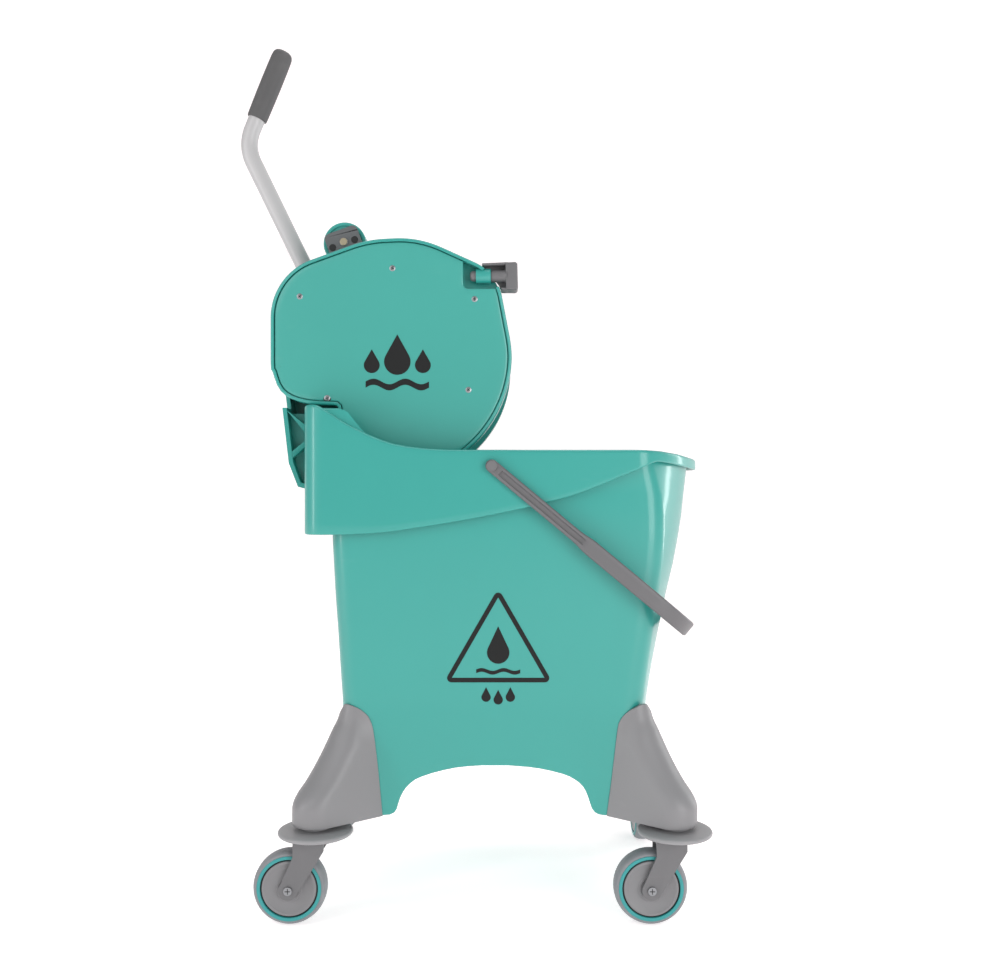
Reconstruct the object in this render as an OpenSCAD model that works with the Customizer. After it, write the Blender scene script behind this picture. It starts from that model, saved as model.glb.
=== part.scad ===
// Mop bucket on casters with a geared lever wringer, built as separate pieces.
// Frame: +X towards the pouring lip, +Y to the left of the bucket, +Z up, floor at Z = 0.

/* [Bucket] */
// Height of the straight side rim above the floor
rim_z = 515; // [500:1:530]
// Height of the rim behind the wringer
rear_rim_z = 565; // [555:1:575]
// Half of the width over the skirt
skirt_y = 145; // [140:1:150]
// Foremost point of the pouring lip
lip_x = 278.5; // [270:0.5:290]
// Rear face of the skirt
skirt_rear_x = -177.5; // [-182:0.5:-172]
// Thickness of the moulded bucket wall
wall = 4; // [3:0.5:5]
// Height of the inside of the bucket's floor
floor_z = 168; // [166:1:185]
// Height of the bottom edge of the legs
leg_z = 108; // [104:1:112]

/* [Casters] */
// Position of the rear casters' swivel axis
rear_caster_x = -160.5; // [-165:0.5:-158]
// Position of the front casters' swivel axis
front_caster_x = 231; // [226:0.5:236]
// Distance between the left and right swivel axes
caster_track = 300; // [296:1:310]
// Radius of the wheel
wheel_r = 40; // [38:0.5:40]
// Width of the wheel
wheel_w = 24; // [20:1:26]
// Distance that a wheel trails behind its swivel axis
trail = 27; // [20:1:32]
// Radius of the round bumper above each caster
bumper_r = 40.6; // [36:0.2:42]

/* [Bail handle] */
// Pivot of the bail handle along the bucket
bail_x = 31.6; // [20:0.1:45]
// Height of the bail handle's pivot
bail_z = 497; // [490:1:500]
// Angle that the bail hangs below level
bail_drop = 39.7; // [38:0.1:45]
// Reach of the bail from its pivot to the outside of its cross piece
bail_reach = 297; // [292:1:300]

/* [Wringer casing] */
// Centre of the round gear casings along the bucket
cheek_x = -83; // [-85:0.5:-81]
// Height of the centre of the gear casings
cheek_z = 619; // [617:0.5:621]
// Radius of the gear casings
cheek_r = 137; // [135:0.5:138]
// Outer face of a gear casing, from the middle plane
cheek_out = 104; // [102:1:108]
// Inner face of a gear casing, from the middle plane
cheek_in = 72; // [70:1:74]

/* [Lever] */
// Lever pivot along the bucket
lever_x = -150; // [-152:0.5:-148]
// Height of the lever pivot
lever_z = 641; // [639:0.5:643]
// Backward lean of the lower part of the lever
lever_lean = 26; // [24:0.5:28]
// Forward lean of the grip
grip_lean = 22.2; // [20:0.1:24]
// Outer radius of the lever tube
tube_r = 10.15; // [9:0.05:11]
// Length of the straight lower part of the lever
lever_straight = 258; // [240:1:270]

/* [Gears] */
// Gear module
gear_m = 3; // [2.8:0.1:3]
// Teeth on the lever's pinion
pinion_teeth = 12; // [12:1:12]
// Teeth on a full circle of the sector gear
sector_teeth = 36; // [36:1:36]

/* [Hidden] */
$fn = 64;

teal = [0.26, 0.63, 0.60];
grey = [0.55, 0.55, 0.56];
dark_grey = [0.38, 0.38, 0.39];
steel = [0.75, 0.76, 0.78];
black = [0.12, 0.12, 0.13];

run_gap = 0.05;                 // running clearance of a shaft in its hole
far = 900;                      // length of a cut that passes right through
caster_y = caster_track / 2;

// ---- Bucket shape ----
body_y = skirt_y - 9;           // half-width of the bucket's inner box at the rim
foot_y = body_y - 10;           // half-width of the lower part between the legs
foot_rear_x = -134;             // rear face of the lower part
foot_top_z = 235;               // where the walls start to lean outwards
nose_r = 165;                   // radius of the rounded front in plan, at the rim
nose_low_r = 500;               // radius of the flatter front at the legs' bottom
nose_low_x = 200;               // foremost point at the legs' bottom
nose_high_x = lip_x - 8.5;      // foremost point at the rim
nose_slope = (nose_high_x - nose_low_x) / (rim_z - leg_z);
lip_dip = 11;                   // how far the pouring lip dips below the rim
skirt_wall = 3.5;               // thickness of the skirt

// Top edge of the rim seen from the side, from the rear to the lip
rim_line = [
    [skirt_rear_x - 5, rear_rim_z], [-158, rear_rim_z], [-139, rim_z + 35.5], [-108, rim_z + 18.5],
    [-78, rim_z + 7], [-47, rim_z + 2], [-16, rim_z], [200, rim_z], [240, rim_z - 3], [lip_x, rim_z - lip_dip]
];
// Bottom edge of the skirt seen from the side, from the lip to the rear
skirt_line = [
    [lip_x, rim_z - 20], [222, rim_z - 14], [153, rim_z - 38], [107, rim_z - 54], [70, rim_z - 64],
    [0, rim_z - 78], [-53, rim_z - 86], [-94, rim_z - 92], [-139, rim_z - 94], [skirt_rear_x - 5, rim_z - 94]
];
// Arches between the legs: seen from the side, and seen from the front
side_arch = [
    [-75, 90], [-73, 120], [-68, 133.5], [-56, 147], [-35, 155.5], [-9, 161.5], [20, 163.8], [55, 163.8],
    [98, 157.8], [122, 149.5], [135, 137], [141, 121], [147, 90]
];
end_arch = [[-82, 90], [-78, 138], [-60, 158], [60, 158], [78, 138], [82, 90]];

module along_y(width) { rotate([90, 0, 0]) linear_extrude(width, center = true) children(); }
module along_y_at(y, width) { translate([0, y, 0]) along_y(width) children(); }
module along_x(width) { rotate([90, 0, 90]) linear_extrude(width, center = true) children(); }
module rod(x, z, y0, y1, r) { translate([x, y1, z]) rotate([90, 0, 0]) cylinder(h = y1 - y0, r = r); }

// Tapered bucket box, shrunk by t on every side, from bottom_z upwards
module bucket_box(t, bottom_z) {
    top = rear_rim_z + 40;
    intersection() {
        along_y(far) polygon([
            [foot_rear_x + t, bottom_z], [foot_rear_x + t, foot_top_z], [foot_rear_x - 13.5 + t, 412],
            [foot_rear_x - 16 + t, top], [lip_x, top], [lip_x, bottom_z]
        ]);
        along_x(far) polygon([
            [-foot_y + t, bottom_z], [-foot_y + t, foot_top_z], [-body_y + 1 + t, 440], [-body_y + t, top],
            [body_y - t, top], [body_y - 1 - t, 440], [foot_y - t, foot_top_z], [foot_y - t, bottom_z]
        ]);
        hull() {
            translate([nose_low_x - nose_low_r, 0, leg_z - 1]) cylinder(h = 1, r = nose_low_r - t, $fn = 256);
            translate([nose_high_x - nose_r, 0, rim_z]) cylinder(h = top - rim_z, r = nose_r - t);
            translate([-400, -200, leg_z - 1]) cube([100, 400, top - leg_z + 1]);
        }
    }
}

// Plan of the rim, shrunk by t: a box with a rounded front
module rim_plan(t) {
    difference() {
        translate([skirt_rear_x + t, -skirt_y + t])
            square([lip_x - skirt_rear_x - 2 * t, 2 * (skirt_y - t)]);
        difference() {
            translate([lip_x - nose_r, -skirt_y - 5]) square([nose_r + 10, 2 * skirt_y + 10]);
            translate([lip_x - nose_r - 9, 0]) circle(r = nose_r + 9 - t, $fn = 128);
        }
    }
}

// Solid band that the skirt is cut from, shrunk by t in plan and lowered by drop
module skirt_band(t, drop) {
    intersection() {
        translate([0, 0, -drop]) along_y(far) polygon(concat(rim_line, skirt_line));
        translate([0, 0, 300]) linear_extrude(300) rim_plan(t);
    }
}

module bucket() {
    color(teal) difference() {
        union() {
            difference() {
                skirt_band(0, 0);
                skirt_band(skirt_wall, skirt_wall);
            }
            intersection() {
                bucket_box(0, leg_z);
                along_y(far) polygon(concat(rim_line, [[lip_x, 50], [skirt_rear_x - 5, 50]]));
            }
        }
        bucket_box(wall, floor_z);
        along_y(far) polygon(side_arch);
        along_x(far) polygon(end_arch);
        for (s = [-1, 1]) bail_pin(s, 0);
    }
}

// ---- Leg covers, bumpers and casters ----
stem_r = 5.5;                   // radius of the caster stem
nose_cover_r = 25;              // radius of a leg cover round the stem
cover_low_z = 106;              // underside of a leg cover
bumper_z = 99;                  // middle height of the round bumpers
bumper_t = 5;                   // thickness of the round bumpers
head_z = 96;                    // top of the fork's swivel head
plate_t = 7;                    // thickness of the fork's swivel head
axle_r = 4;                     // radius of the wheel axle
tread_r = 35;                   // inner radius of the tyre
ring_r = 31;                    // inner radius of the coloured wheel ring
cheek_gap = 1.2;                // side gap between wheel and fork
fork_t = 4;                     // thickness of a fork arm
foot_front_x = 202;             // front end of a front leg cover's inner foot

// Lower corner of the bucket that the leg covers wrap
module foot_core() {
    rise = 200;
    intersection() {
        along_y(2 * foot_y) polygon([
            [foot_rear_x, 0], [foot_rear_x, 400], [lip_x, 400], [lip_x, 0]
        ]);
        translate([nose_low_x - nose_low_r, 0, leg_z - rise])
            cylinder(h = 2 * rise, r1 = nose_low_r - nose_slope * rise, r2 = nose_low_r + nose_slope * rise, $fn = 256);
    }
}

// One leg cover: dir is -1 at the rear and 1 at the front, side is -1 right and 1 left
module leg_cover(axis_x, dir, side) {
    inner_x = dir < 0 ? -92 : 160;
    corner_x = dir < 0 ? foot_rear_x - 4 : foot_front_x;
    color(grey) difference() {
        hull() {
            translate([axis_x, side * caster_y, cover_low_z]) cylinder(h = 22, r = nose_cover_r, $fn = 32);
            translate([min(inner_x, corner_x), side > 0 ? foot_y - 26 : -foot_y - 4, leg_z])
                cube([abs(inner_x - corner_x), 30, 4]);
            translate([dir < 0 ? corner_x : corner_x - 20, side > 0 ? foot_y - 18 : -foot_y - 4, foot_top_z - 6])
                cube([20, 22, 2]);
        }
        foot_core();
        translate([axis_x, side * caster_y, 50]) cylinder(h = 75, r = stem_r);
    }
}

module bumper(axis_x, side) {
    edge = bumper_t / 2;
    color(grey) translate([axis_x, side * caster_y, bumper_z]) rotate_extrude($fn = 96) {
        translate([stem_r, -edge]) square([bumper_r - edge - stem_r, bumper_t]);
        translate([stem_r, edge]) square([9, cover_low_z - bumper_z - edge]);
        intersection() {
            translate([bumper_r - edge, 0]) circle(r = edge);
            translate([bumper_r - edge, -edge]) square([edge, bumper_t]);
        }
    }
}

// Stem with a riveted head that carries the fork
module stem(axis_x, side) {
    translate([axis_x, side * caster_y, head_z - plate_t - 4.3]) {
        cylinder(h = 4, r = 9);
        cylinder(h = 38, r = stem_r);
    }
}

module fork(axis_x, side) {
    wheel_x = axis_x - trail;
    arm_y = wheel_w / 2 + cheek_gap;
    color(dark_grey) translate([0, side * caster_y, 0]) difference() {
        union() {
            translate([axis_x, 0, head_z - plate_t]) cylinder(h = plate_t, r = 19.5);
            for (s = [-1, 1]) translate([0, s * (arm_y + fork_t / 2), 0]) along_y(fork_t) union() {
                translate([wheel_x, wheel_r]) circle(r = 10.5);
                polygon([
                    [wheel_x - 9, wheel_r + 5], [axis_x - 22, 76], [axis_x - 22, head_z - 1],
                    [axis_x + 11, head_z - 1], [axis_x + 11, 82], [wheel_x + 8, wheel_r - 7]
                ]);
            }
            translate([axis_x - 22, -arm_y - fork_t, head_z - plate_t]) cube([33, 2 * (arm_y + fork_t), 6]);
        }
        translate([axis_x, 0, 50]) cylinder(h = 90, r = stem_r + run_gap);
        rod(wheel_x, wheel_r, -60, 60, axle_r);
    }
}

// Shouldered bolt and nut that carry the wheel
module axle(axis_x, side) {
    reach = wheel_w / 2 + cheek_gap + fork_t;
    color(steel) translate([0, side * caster_y, 0]) {
        rod(axis_x - trail, wheel_r, -reach, reach, axle_r);
        rod(axis_x - trail, wheel_r, -reach - 2, -reach, 4.6);
        rod(axis_x - trail, wheel_r, reach, reach + 3, 6.5);
    }
}

// Turns a caster about its swivel axis to where it came to rest, with its wheel pointing inwards
module swung(axis_x, side) {
    translate([axis_x, side * caster_y, 0]) rotate(90) translate([-axis_x, -side * caster_y, 0]) children();
}

// Revolved wheel part about its axle: its outline is [radius, width] points
module wheel_part(axis_x, side, outline) {
    translate([axis_x - trail, side * caster_y, wheel_r]) rotate([90, 0, 0])
        rotate_extrude($fn = 96) polygon(outline);
}

module tyre(axis_x, side) {
    w = wheel_w / 2;
    color(grey) wheel_part(axis_x, side, [
        [tread_r, -w + 1], [wheel_r - 4, -w + 1], [wheel_r - 1, -w + 3], [wheel_r, -w + 6],
        [wheel_r, w - 6], [wheel_r - 1, w - 3], [wheel_r - 4, w - 1], [tread_r, w - 1]
    ]);
}

module wheel_ring(axis_x, side) {
    w = wheel_w / 2;
    color(teal) wheel_part(axis_x, side, [[ring_r, -w], [tread_r, -w], [tread_r, w], [ring_r, w]]);
}

module hub(axis_x, side) {
    w = wheel_w / 2;
    bore = axle_r + run_gap;
    color(grey) wheel_part(axis_x, side, [
        [bore, -w], [ring_r - 1, -w], [ring_r - 1, -w + 2], [ring_r, -w + 2],
        [ring_r, w - 2], [ring_r - 1, w - 2], [ring_r - 1, w], [bore, w]
    ]);
}

module leg_cover_rear_right() { leg_cover(rear_caster_x, -1, -1); }
module leg_cover_rear_left() { leg_cover(rear_caster_x, -1, 1); }
module leg_cover_front_right() { leg_cover(front_caster_x, 1, -1); }
module leg_cover_front_left() { leg_cover(front_caster_x, 1, 1); }
module bumper_rear_right() { bumper(rear_caster_x, -1); }
module bumper_rear_left() { bumper(rear_caster_x, 1); }
module bumper_front_right() { bumper(front_caster_x, -1); }
module bumper_front_left() { bumper(front_caster_x, 1); }
module caster_stems() {
    color(steel) for (x = [rear_caster_x, front_caster_x], s = [-1, 1]) stem(x, s);
}
module fork_rear_right() { fork(rear_caster_x, -1); }
module fork_rear_left() { fork(rear_caster_x, 1); }
module fork_front_right() { fork(front_caster_x, -1); }
module fork_front_left() { swung(front_caster_x, 1) fork(front_caster_x, 1); }
module axle_rear_right() { axle(rear_caster_x, -1); }
module axle_rear_left() { axle(rear_caster_x, 1); }
module axle_front_right() { axle(front_caster_x, -1); }
module axle_front_left() { swung(front_caster_x, 1) axle(front_caster_x, 1); }
module tyre_rear_right() { tyre(rear_caster_x, -1); }
module tyre_rear_left() { tyre(rear_caster_x, 1); }
module tyre_front_right() { tyre(front_caster_x, -1); }
module tyre_front_left() { swung(front_caster_x, 1) tyre(front_caster_x, 1); }
module wheel_ring_rear_right() { wheel_ring(rear_caster_x, -1); }
module wheel_ring_rear_left() { wheel_ring(rear_caster_x, 1); }
module wheel_ring_front_right() { wheel_ring(front_caster_x, -1); }
module wheel_ring_front_left() { swung(front_caster_x, 1) wheel_ring(front_caster_x, 1); }
module hub_rear_right() { hub(rear_caster_x, -1); }
module hub_rear_left() { hub(rear_caster_x, 1); }
module hub_front_right() { hub(front_caster_x, -1); }
module hub_front_left() { swung(front_caster_x, 1) hub(front_caster_x, 1); }

// ---- Bail handle ----
bail_pin_r = 4;                 // radius of the bail's pivot pins
bail_gap = 0.6;                 // gap between skirt and bail arm
bail_t = 6;                     // thickness of the bail in its own plane
bail_h = 14;                    // height of a bail arm
bow_h = 18;                     // height of the bail's corners and cross piece
bail_corner_r = 62;             // outer radius of the bail's corners
bail_arm_groove = 118;          // length of the groove in each bail arm

// Pivot pin on one side, through the bail arm and the skirt's two walls
module bail_pin(side, head) {
    y0 = body_y - wall;
    y1 = skirt_y + bail_gap + bail_t + 0.4;
    rod(bail_x, bail_z, side > 0 ? y0 : -y1, side > 0 ? y1 : -y0, bail_pin_r);
    if (head > 0) rod(bail_x, bail_z, side > 0 ? y1 : -y1 - 2, side > 0 ? y1 + 2 : -y1, head);
}

module bail_pivots() { color(grey) for (s = [-1, 1]) bail_pin(s, 5.8); }

module bail_handle() {
    arm_y = skirt_y + bail_gap;
    out_y = arm_y + bail_t;
    arm_x = bail_reach - bail_corner_r;
    color(dark_grey) translate([bail_x, 0, bail_z]) rotate([0, bail_drop, 0]) difference() {
        union() {
            for (s = [-1, 1]) {
                translate([0, s > 0 ? arm_y : -out_y, -bail_h / 2]) cube([arm_x, bail_t, bail_h]);
                rod(0, 0, s > 0 ? arm_y : -out_y, s > 0 ? out_y : -arm_y, bail_h / 2);
                translate([arm_x, s * (out_y - bail_corner_r), -bow_h / 2]) rotate([0, 0, s > 0 ? 0 : -90])
                    rotate_extrude(angle = 90) translate([bail_corner_r - bail_t, 0]) square([bail_t, bow_h]);
            }
            translate([bail_reach - bail_t, bail_corner_r - out_y, -bow_h / 2])
                cube([bail_t, 2 * (out_y - bail_corner_r), bow_h]);
        }
        for (s = [-1, 1]) {
            translate([12, s > 0 ? out_y - 2.5 : -out_y - 0.5, -3]) cube([bail_arm_groove, 3, 6]);
            rod(0, 0, -far, far, bail_pin_r + run_gap);
        }
    }
}

// ---- Wringer casings ----
shell_t = 4;                    // wall of a gear casing
shaft_r = 8;                    // radius of the lever shaft and the jaw shaft
bush_r = 11;                    // outer radius of the shaft bushes
jaw_x = -120;                   // jaw pivot along the bucket
jaw_z = 575.6;                  // height of the jaw pivot
latch_x = 47;                   // rear face of the latch's finger block
latch_width = 24;               // width of the latch's finger block
latch_z = 714.4;                // height of the latch's pin
roller_x = -141.5;              // roller axis along the bucket
roller_z = 759;                 // height of the roller axis
latch_y = cheek_out - 8.5;      // distance of the latch's pin from the middle plane
latch_pin_r = 6;                // radius of the latch's pin
tie_r = 4;                      // radius of the rods that tie the casings together
screw_r = 1.6;                  // radius of a cover screw
screw_head_r = 3.6;             // radius of a cover screw's head
screw_spots = [[-81.6, 722], [-186.8, 690], [11.7, 687], [4.7, 584], [-155.6, 574.7]];
rod_spots = [[-105, 738], [30, 640], [-40, 500]];
grille_line = [[-138, 560], [-113, 560], [-105.7, 568.4], [-42.8, 693.4], [-14, 712]];

// Outline of a gear casing, shrunk by t: round, with fuller upper corners
module cheek_outline(t) {
    difference() {
        hull() {
            translate([cheek_x, cheek_z]) circle(r = cheek_r - t, $fn = 96);
            translate([cheek_x + 9, cheek_z + 21]) circle(r = cheek_r - 20.5 - t, $fn = 96);
            translate([cheek_x - 67, cheek_z + 47]) circle(r = 70 - t);
            translate([cheek_x + 72, cheek_z + 60]) circle(r = 55 - t);
        }
        translate([cheek_x - 200, cheek_z - 190]) square([140 + t, 137.5 + t]);
    }
}

// Pocket in the casing for the latch pin, grown by t
module latch_pocket(t) {
    translate([-3 - t, -cheek_out - 1, latch_z - 16 - t]) cube([80, 17 + t, 33 + 2 * t]);
}

// The right-hand casing, with the latch's pocket; the left one is its mirror image without a latch
module cheek(latch = true) {
    y_in = -cheek_in;
    color(teal) difference() {
        union() {
            difference() {
                translate([0, y_in, 0]) rotate([90, 0, 0]) linear_extrude(cheek_out - cheek_in) cheek_outline(0);
                translate([0, y_in - shell_t, 0]) rotate([90, 0, 0]) linear_extrude(far) cheek_outline(shell_t);
            }
            if (latch) intersection() {
                latch_pocket(2.5);
                translate([0, 6 - cheek_out, 0]) along_y(12) cheek_outline(0);
            }
            for (p = screw_spots) rod(p[0], p[1], 5 - cheek_out, y_in - 1, 5);
        }
        if (latch) latch_pocket(0);
        rod(lever_x, lever_z, -far, 0, bush_r);
        rod(jaw_x, jaw_z, -far, 0, bush_r);
        for (p = rod_spots) rod(p[0], p[1], y_in - 10, 0, tie_r);
        for (p = screw_spots) rod(p[0], p[1], -cheek_out, y_in - 12, screw_r);
    }
    if (latch) color(teal) translate([13, -latch_y, latch_z]) rotate([0, 90, 0]) difference() {
        cylinder(h = 17, r = latch_pin_r + 2.4);
        translate([0, 0, -1]) cylinder(h = 19, r = latch_pin_r + run_gap);
    }
}

module cover(latch = true) {
    color(teal) difference() {
        translate([0, 5 - cheek_out, 0]) rotate([90, 0, 0]) linear_extrude(4.2) cheek_outline(shell_t + 1);
        if (latch) translate([-6, -cheek_out - 2, latch_z - 19]) cube([90, 12, 60]);
        for (p = screw_spots) rod(p[0], p[1], -cheek_out - 5, 0, screw_r);
        for (p = screw_spots) rod(p[0], p[1], -cheek_out - 5, 2.4 - cheek_out, screw_head_r + 0.2);
    }
}

module cover_screw(p) {
    rod(p[0], p[1], 0.7 - cheek_out, 2.4 - cheek_out, screw_head_r);
    rod(p[0], p[1], 2.4 - cheek_out, 14 - cheek_out, screw_r);
}

module tie_rods() {
    color(steel) for (p = rod_spots) {
        rod(p[0], p[1], -cheek_in - shell_t, cheek_in + shell_t, tie_r);
        for (s = [-1, 1]) rod(p[0], p[1], s * (cheek_in + shell_t + 1.5) - 1.5, s * (cheek_in + shell_t + 1.5) + 1.5, 7);
    }
}

// Flanged bush in the right-hand casing's inner wall
module bush(x, z) {
    difference() {
        union() {
            rod(x, z, -cheek_in - shell_t, -cheek_in, bush_r);
            rod(x, z, -cheek_in, 2 - cheek_in, bush_r + 3);
        }
        rod(x, z, -far, 0, shaft_r + run_gap);
    }
}

// ---- Hook, basket and guide roller ----
between = cheek_in - 0.2;       // half-width of the pieces between the casings
hook_y = 100;                   // half-width of the hook below the rim
hook_t = 5;                     // thickness of the hook's strap
strap_line = [[-209.5, 584], [-200, 501], [-189.5, 474], [-180, 471.5]];
strap_inner_line = [[-180, 477], [-186.5, 479], [-195, 502], [-204.2, 579], [-150, 579]];
tall_rib = [[-179, 475], [-187.5, 477.5], [-196.5, 502], [-205.5, 580.5], [-152, 580.5], [-152, 566], [-179, 566]];
short_rib = [[-179, 475], [-187.5, 477.5], [-196.5, 502], [-203, 558], [-179, 558]];

module hook_bracket() {
    color(teal) {
        difference() {
            along_y(2 * hook_y) polygon(concat(strap_line, strap_inner_line, [[-150, 584]]));
            for (s = [-1, 1]) translate([-250, s > 0 ? between : -between - 100, rear_rim_z - 1]) cube([150, 100, 40]);
        }
        for (y = [-41, 0, 41]) along_y_at(y, 4) polygon(tall_rib);
        for (s = [-1, 1]) {
            along_y_at(s * 82, 4) polygon(short_rib);
            along_y_at(s * 91.25, 16.5) polygon([[-204.5, 563], [-198, 556], [-179.5, 533], [-179.5, 543]]);
            along_y_at(s * 91.25, 16.5) polygon([[-199, 512], [-179.5, 528], [-179.5, 521], [-198, 505]]);
        }
    }
}

module front_grille() {
    n = len(grille_line);
    back = [for (i = [n - 1:-1:0]) grille_line[i] + (i < 2 ? [0, -4] : [3.6, -1.8])];
    color(teal) difference() {
        along_y(2 * between) polygon(concat(grille_line, back));
        for (y = [-56:16:56]) translate([-74, y, 631]) rotate([0, 26.7, 0]) cube([14, 8, 100], center = true);
        for (y = [-56:16:56]) translate([-125, y, 558]) cube([16, 8, 12], center = true);
    }
}

// End bracket of the guide roller, against the right-hand casing's inner wall
module roller_bracket() {
    color(dark_grey) difference() {
        translate([roller_x, -66, roller_z]) rotate([90, -20, 0]) linear_extrude(between - 66) union() {
            translate([-20, -24]) square([40, 33]);
            translate([-14, 0]) square([28, 15]);
            for (x = [-14, 14]) translate([x, 9]) circle(r = 6);
        }
        rod(roller_x, roller_z, -far, 0, 5);
        for (a = [0, 180]) rod(roller_x + 13.6 * cos(a + 20), roller_z + 13.6 * sin(a + 20) - 2, -far, 0, 4.1);
    }
}

module bracket_plugs() {
    color(black) for (s = [-1, 1], a = [0, 180])
        rod(roller_x + 13.6 * cos(a + 20), roller_z + 13.6 * sin(a + 20) - 2,
            s > 0 ? 66 : -between, s > 0 ? between : -66, 4.1);
}

module bracket_screws() {
    color(steel) for (s = [-1, 1])
        rod(roller_x, roller_z, s > 0 ? between : -between - 1.6, s > 0 ? between + 1.6 : -between, 4.3);
}

module roller_axle() { color(steel) rod(roller_x, roller_z, -between, between, 5); }

module guide_roller() {
    color(teal) difference() {
        rod(roller_x, roller_z, -64, 64, 25);
        rod(roller_x, roller_z, -far, far, 5 + run_gap);
        for (s = [-1, 1]) difference() {
            rod(roller_x, roller_z, s > 0 ? 40 : -65, s > 0 ? 65 : -40, 21);
            rod(roller_x, roller_z, -far, far, 9);
        }
    }
}

module latch_bar() {
    color(dark_grey) {
        translate([latch_x + 0.3, -cheek_out, latch_z - 16]) cube([13, latch_width, 31]);
        translate([30.8, -latch_y - 6.5, latch_z - 6.5]) cube([latch_x - 30.3, 13, 13]);
        translate([5, -latch_y, latch_z]) rotate([0, 90, 0]) cylinder(h = 27, r = latch_pin_r);
    }
}

// ---- Lever, shafts and gears ----
bend_r = 50;                    // radius of the lever's bend, at the tube's middle
bend_angle = lever_lean + grip_lean;
grip_start = 13.7;              // from the end of the bend to the grip
grip_len = 89.4;                // length of the grip
tube_wall = 1.8;                // wall of the lever tube
hub_half = 20;                  // half-width of the lever hub
bolt_at = 38;                   // distance of the hub bolt from the pivot
shaft_half = cheek_out - 6;     // half-length of the lever shaft and the jaw shaft
pinion_pitch_r = gear_m * pinion_teeth / 2;
sector_pitch_r = gear_m * sector_teeth / 2;
pressure = 25;                  // pressure angle of the teeth
backlash = 0.2;                 // thinning of each tooth at the pitch circle
mesh_angle = atan2(jaw_z - lever_z, jaw_x - lever_x);

// Point of an involute flank at radius r; half is the tooth's half angle at its base
function flank(r, base_r, half, side) =
    let (t = sqrt(max(0, pow(r / base_r, 2) - 1)), a = side * (half - (t * 180 / PI - atan(t))))
    r * [cos(a), sin(a)];
function turned(p, a) = [p[0] * cos(a) - p[1] * sin(a), p[0] * sin(a) + p[1] * cos(a)];

// Outline of one tooth that points along X
function tooth(teeth) =
    let (pitch_r = gear_m * teeth / 2, base_r = pitch_r * cos(pressure), root_r = pitch_r - 1.2 * gear_m,
         tip_r = pitch_r + 0.9 * gear_m, low_r = max(root_r, base_r),
         half = 90 / teeth - backlash / 2 / pitch_r * 180 / PI + tan(pressure) * 180 / PI - pressure,
         steps = [0:6])
    concat(
        [root_r * [cos(half), -sin(half)]],
        [for (i = steps) flank(low_r + (tip_r - low_r) * i / 6, base_r, half, -1)],
        [for (i = steps) flank(tip_r - (tip_r - low_r) * i / 6, base_r, half, 1)],
        [root_r * [cos(half), sin(half)]]
    );

// Teeth first to last of a gear, the tooth numbered 0 standing at angle start
function teeth_line(teeth, first, last, start) =
    [for (k = [first:last], p = tooth(teeth)) turned(p, start + k * 360 / teeth)];

module lever_frame() { translate([lever_x, 0, lever_z]) rotate([0, -lever_lean, 0]) children(); }
module past_bend() {
    lever_frame() translate([bend_r, 0, lever_straight]) rotate([0, bend_angle, 0]) translate([-bend_r, 0, 0])
        children();
}

module lever_shaft() { color(steel) rod(lever_x, lever_z, -shaft_half, shaft_half, shaft_r); }
module jaw_shaft() { color(steel) rod(jaw_x, jaw_z, -shaft_half, shaft_half, shaft_r); }

module pinions() {
    color(dark_grey) for (s = [-1, 1]) translate([lever_x, s * 88, lever_z]) along_y(16) difference() {
        polygon(teeth_line(pinion_teeth, 0, pinion_teeth - 1, mesh_angle));
        circle(r = shaft_r);
    }
}

module sector_gears() {
    half_pitch = 180 / sector_teeth;
    color(dark_grey) for (s = [-1, 1]) translate([jaw_x, s * 88, jaw_z]) along_y(12) difference() {
        union() {
            polygon(concat([[0, 0]], teeth_line(sector_teeth, -1, 4, mesh_angle + 180 - half_pitch)));
            circle(r = 15);
        }
        circle(r = shaft_r);
    }
}

module lever_hub() {
    color(dark_grey) difference() {
        union() {
            rod(lever_x, lever_z, -hub_half, hub_half, 17);
            lever_frame() cylinder(h = 58, r = tube_r + 4);
        }
        rod(lever_x, lever_z, -far, far, shaft_r);
        lever_frame() translate([0, 0, 12]) cylinder(h = 60, r = tube_r);
        lever_frame() rod(0, bolt_at, -far, far, 3);
    }
}

module hub_bolt() {
    color(steel) lever_frame() {
        rod(0, bolt_at, -tube_r - 4, tube_r + 4, 3);
        for (s = [-1, 1]) rod(0, bolt_at, s * (tube_r + 6) - 2, s * (tube_r + 6) + 2, 5);
    }
}

module tube_ring() {
    difference() {
        circle(r = tube_r);
        circle(r = tube_r - tube_wall);
    }
}

module lever_tube() {
    color([0.70, 0.70, 0.71]) difference() {
        union() {
            lever_frame() translate([0, 0, 12]) linear_extrude(lever_straight - 12) tube_ring();
            lever_frame() translate([bend_r, 0, lever_straight]) rotate([90, 0, 0])
                rotate([0, 0, 180 - bend_angle]) rotate_extrude(angle = bend_angle)
                    translate([bend_r, 0]) tube_ring();
            past_bend() linear_extrude(grip_start + 76) tube_ring();
        }
        lever_frame() rod(0, bolt_at, -far, far, 3);
    }
}

module lever_grip() {
    color(dark_grey) past_bend() translate([0, 0, grip_start]) rotate_extrude() polygon([
        [tube_r, 0], [11.6, 0], [12.3, 2], [12.8, 30], [12.9, 50], [12.6, 80], [11.6, 86], [8.5, grip_len],
        [0, grip_len], [0, 78], [tube_r, 78]
    ]);
}

module return_springs() {
    color(steel) for (s = [-1, 1]) difference() {
        rod(lever_x, lever_z, s > 0 ? 24 : -64, s > 0 ? 64 : -24, 12.5);
        rod(lever_x, lever_z, -far, far, shaft_r + 1);
    }
}

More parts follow.
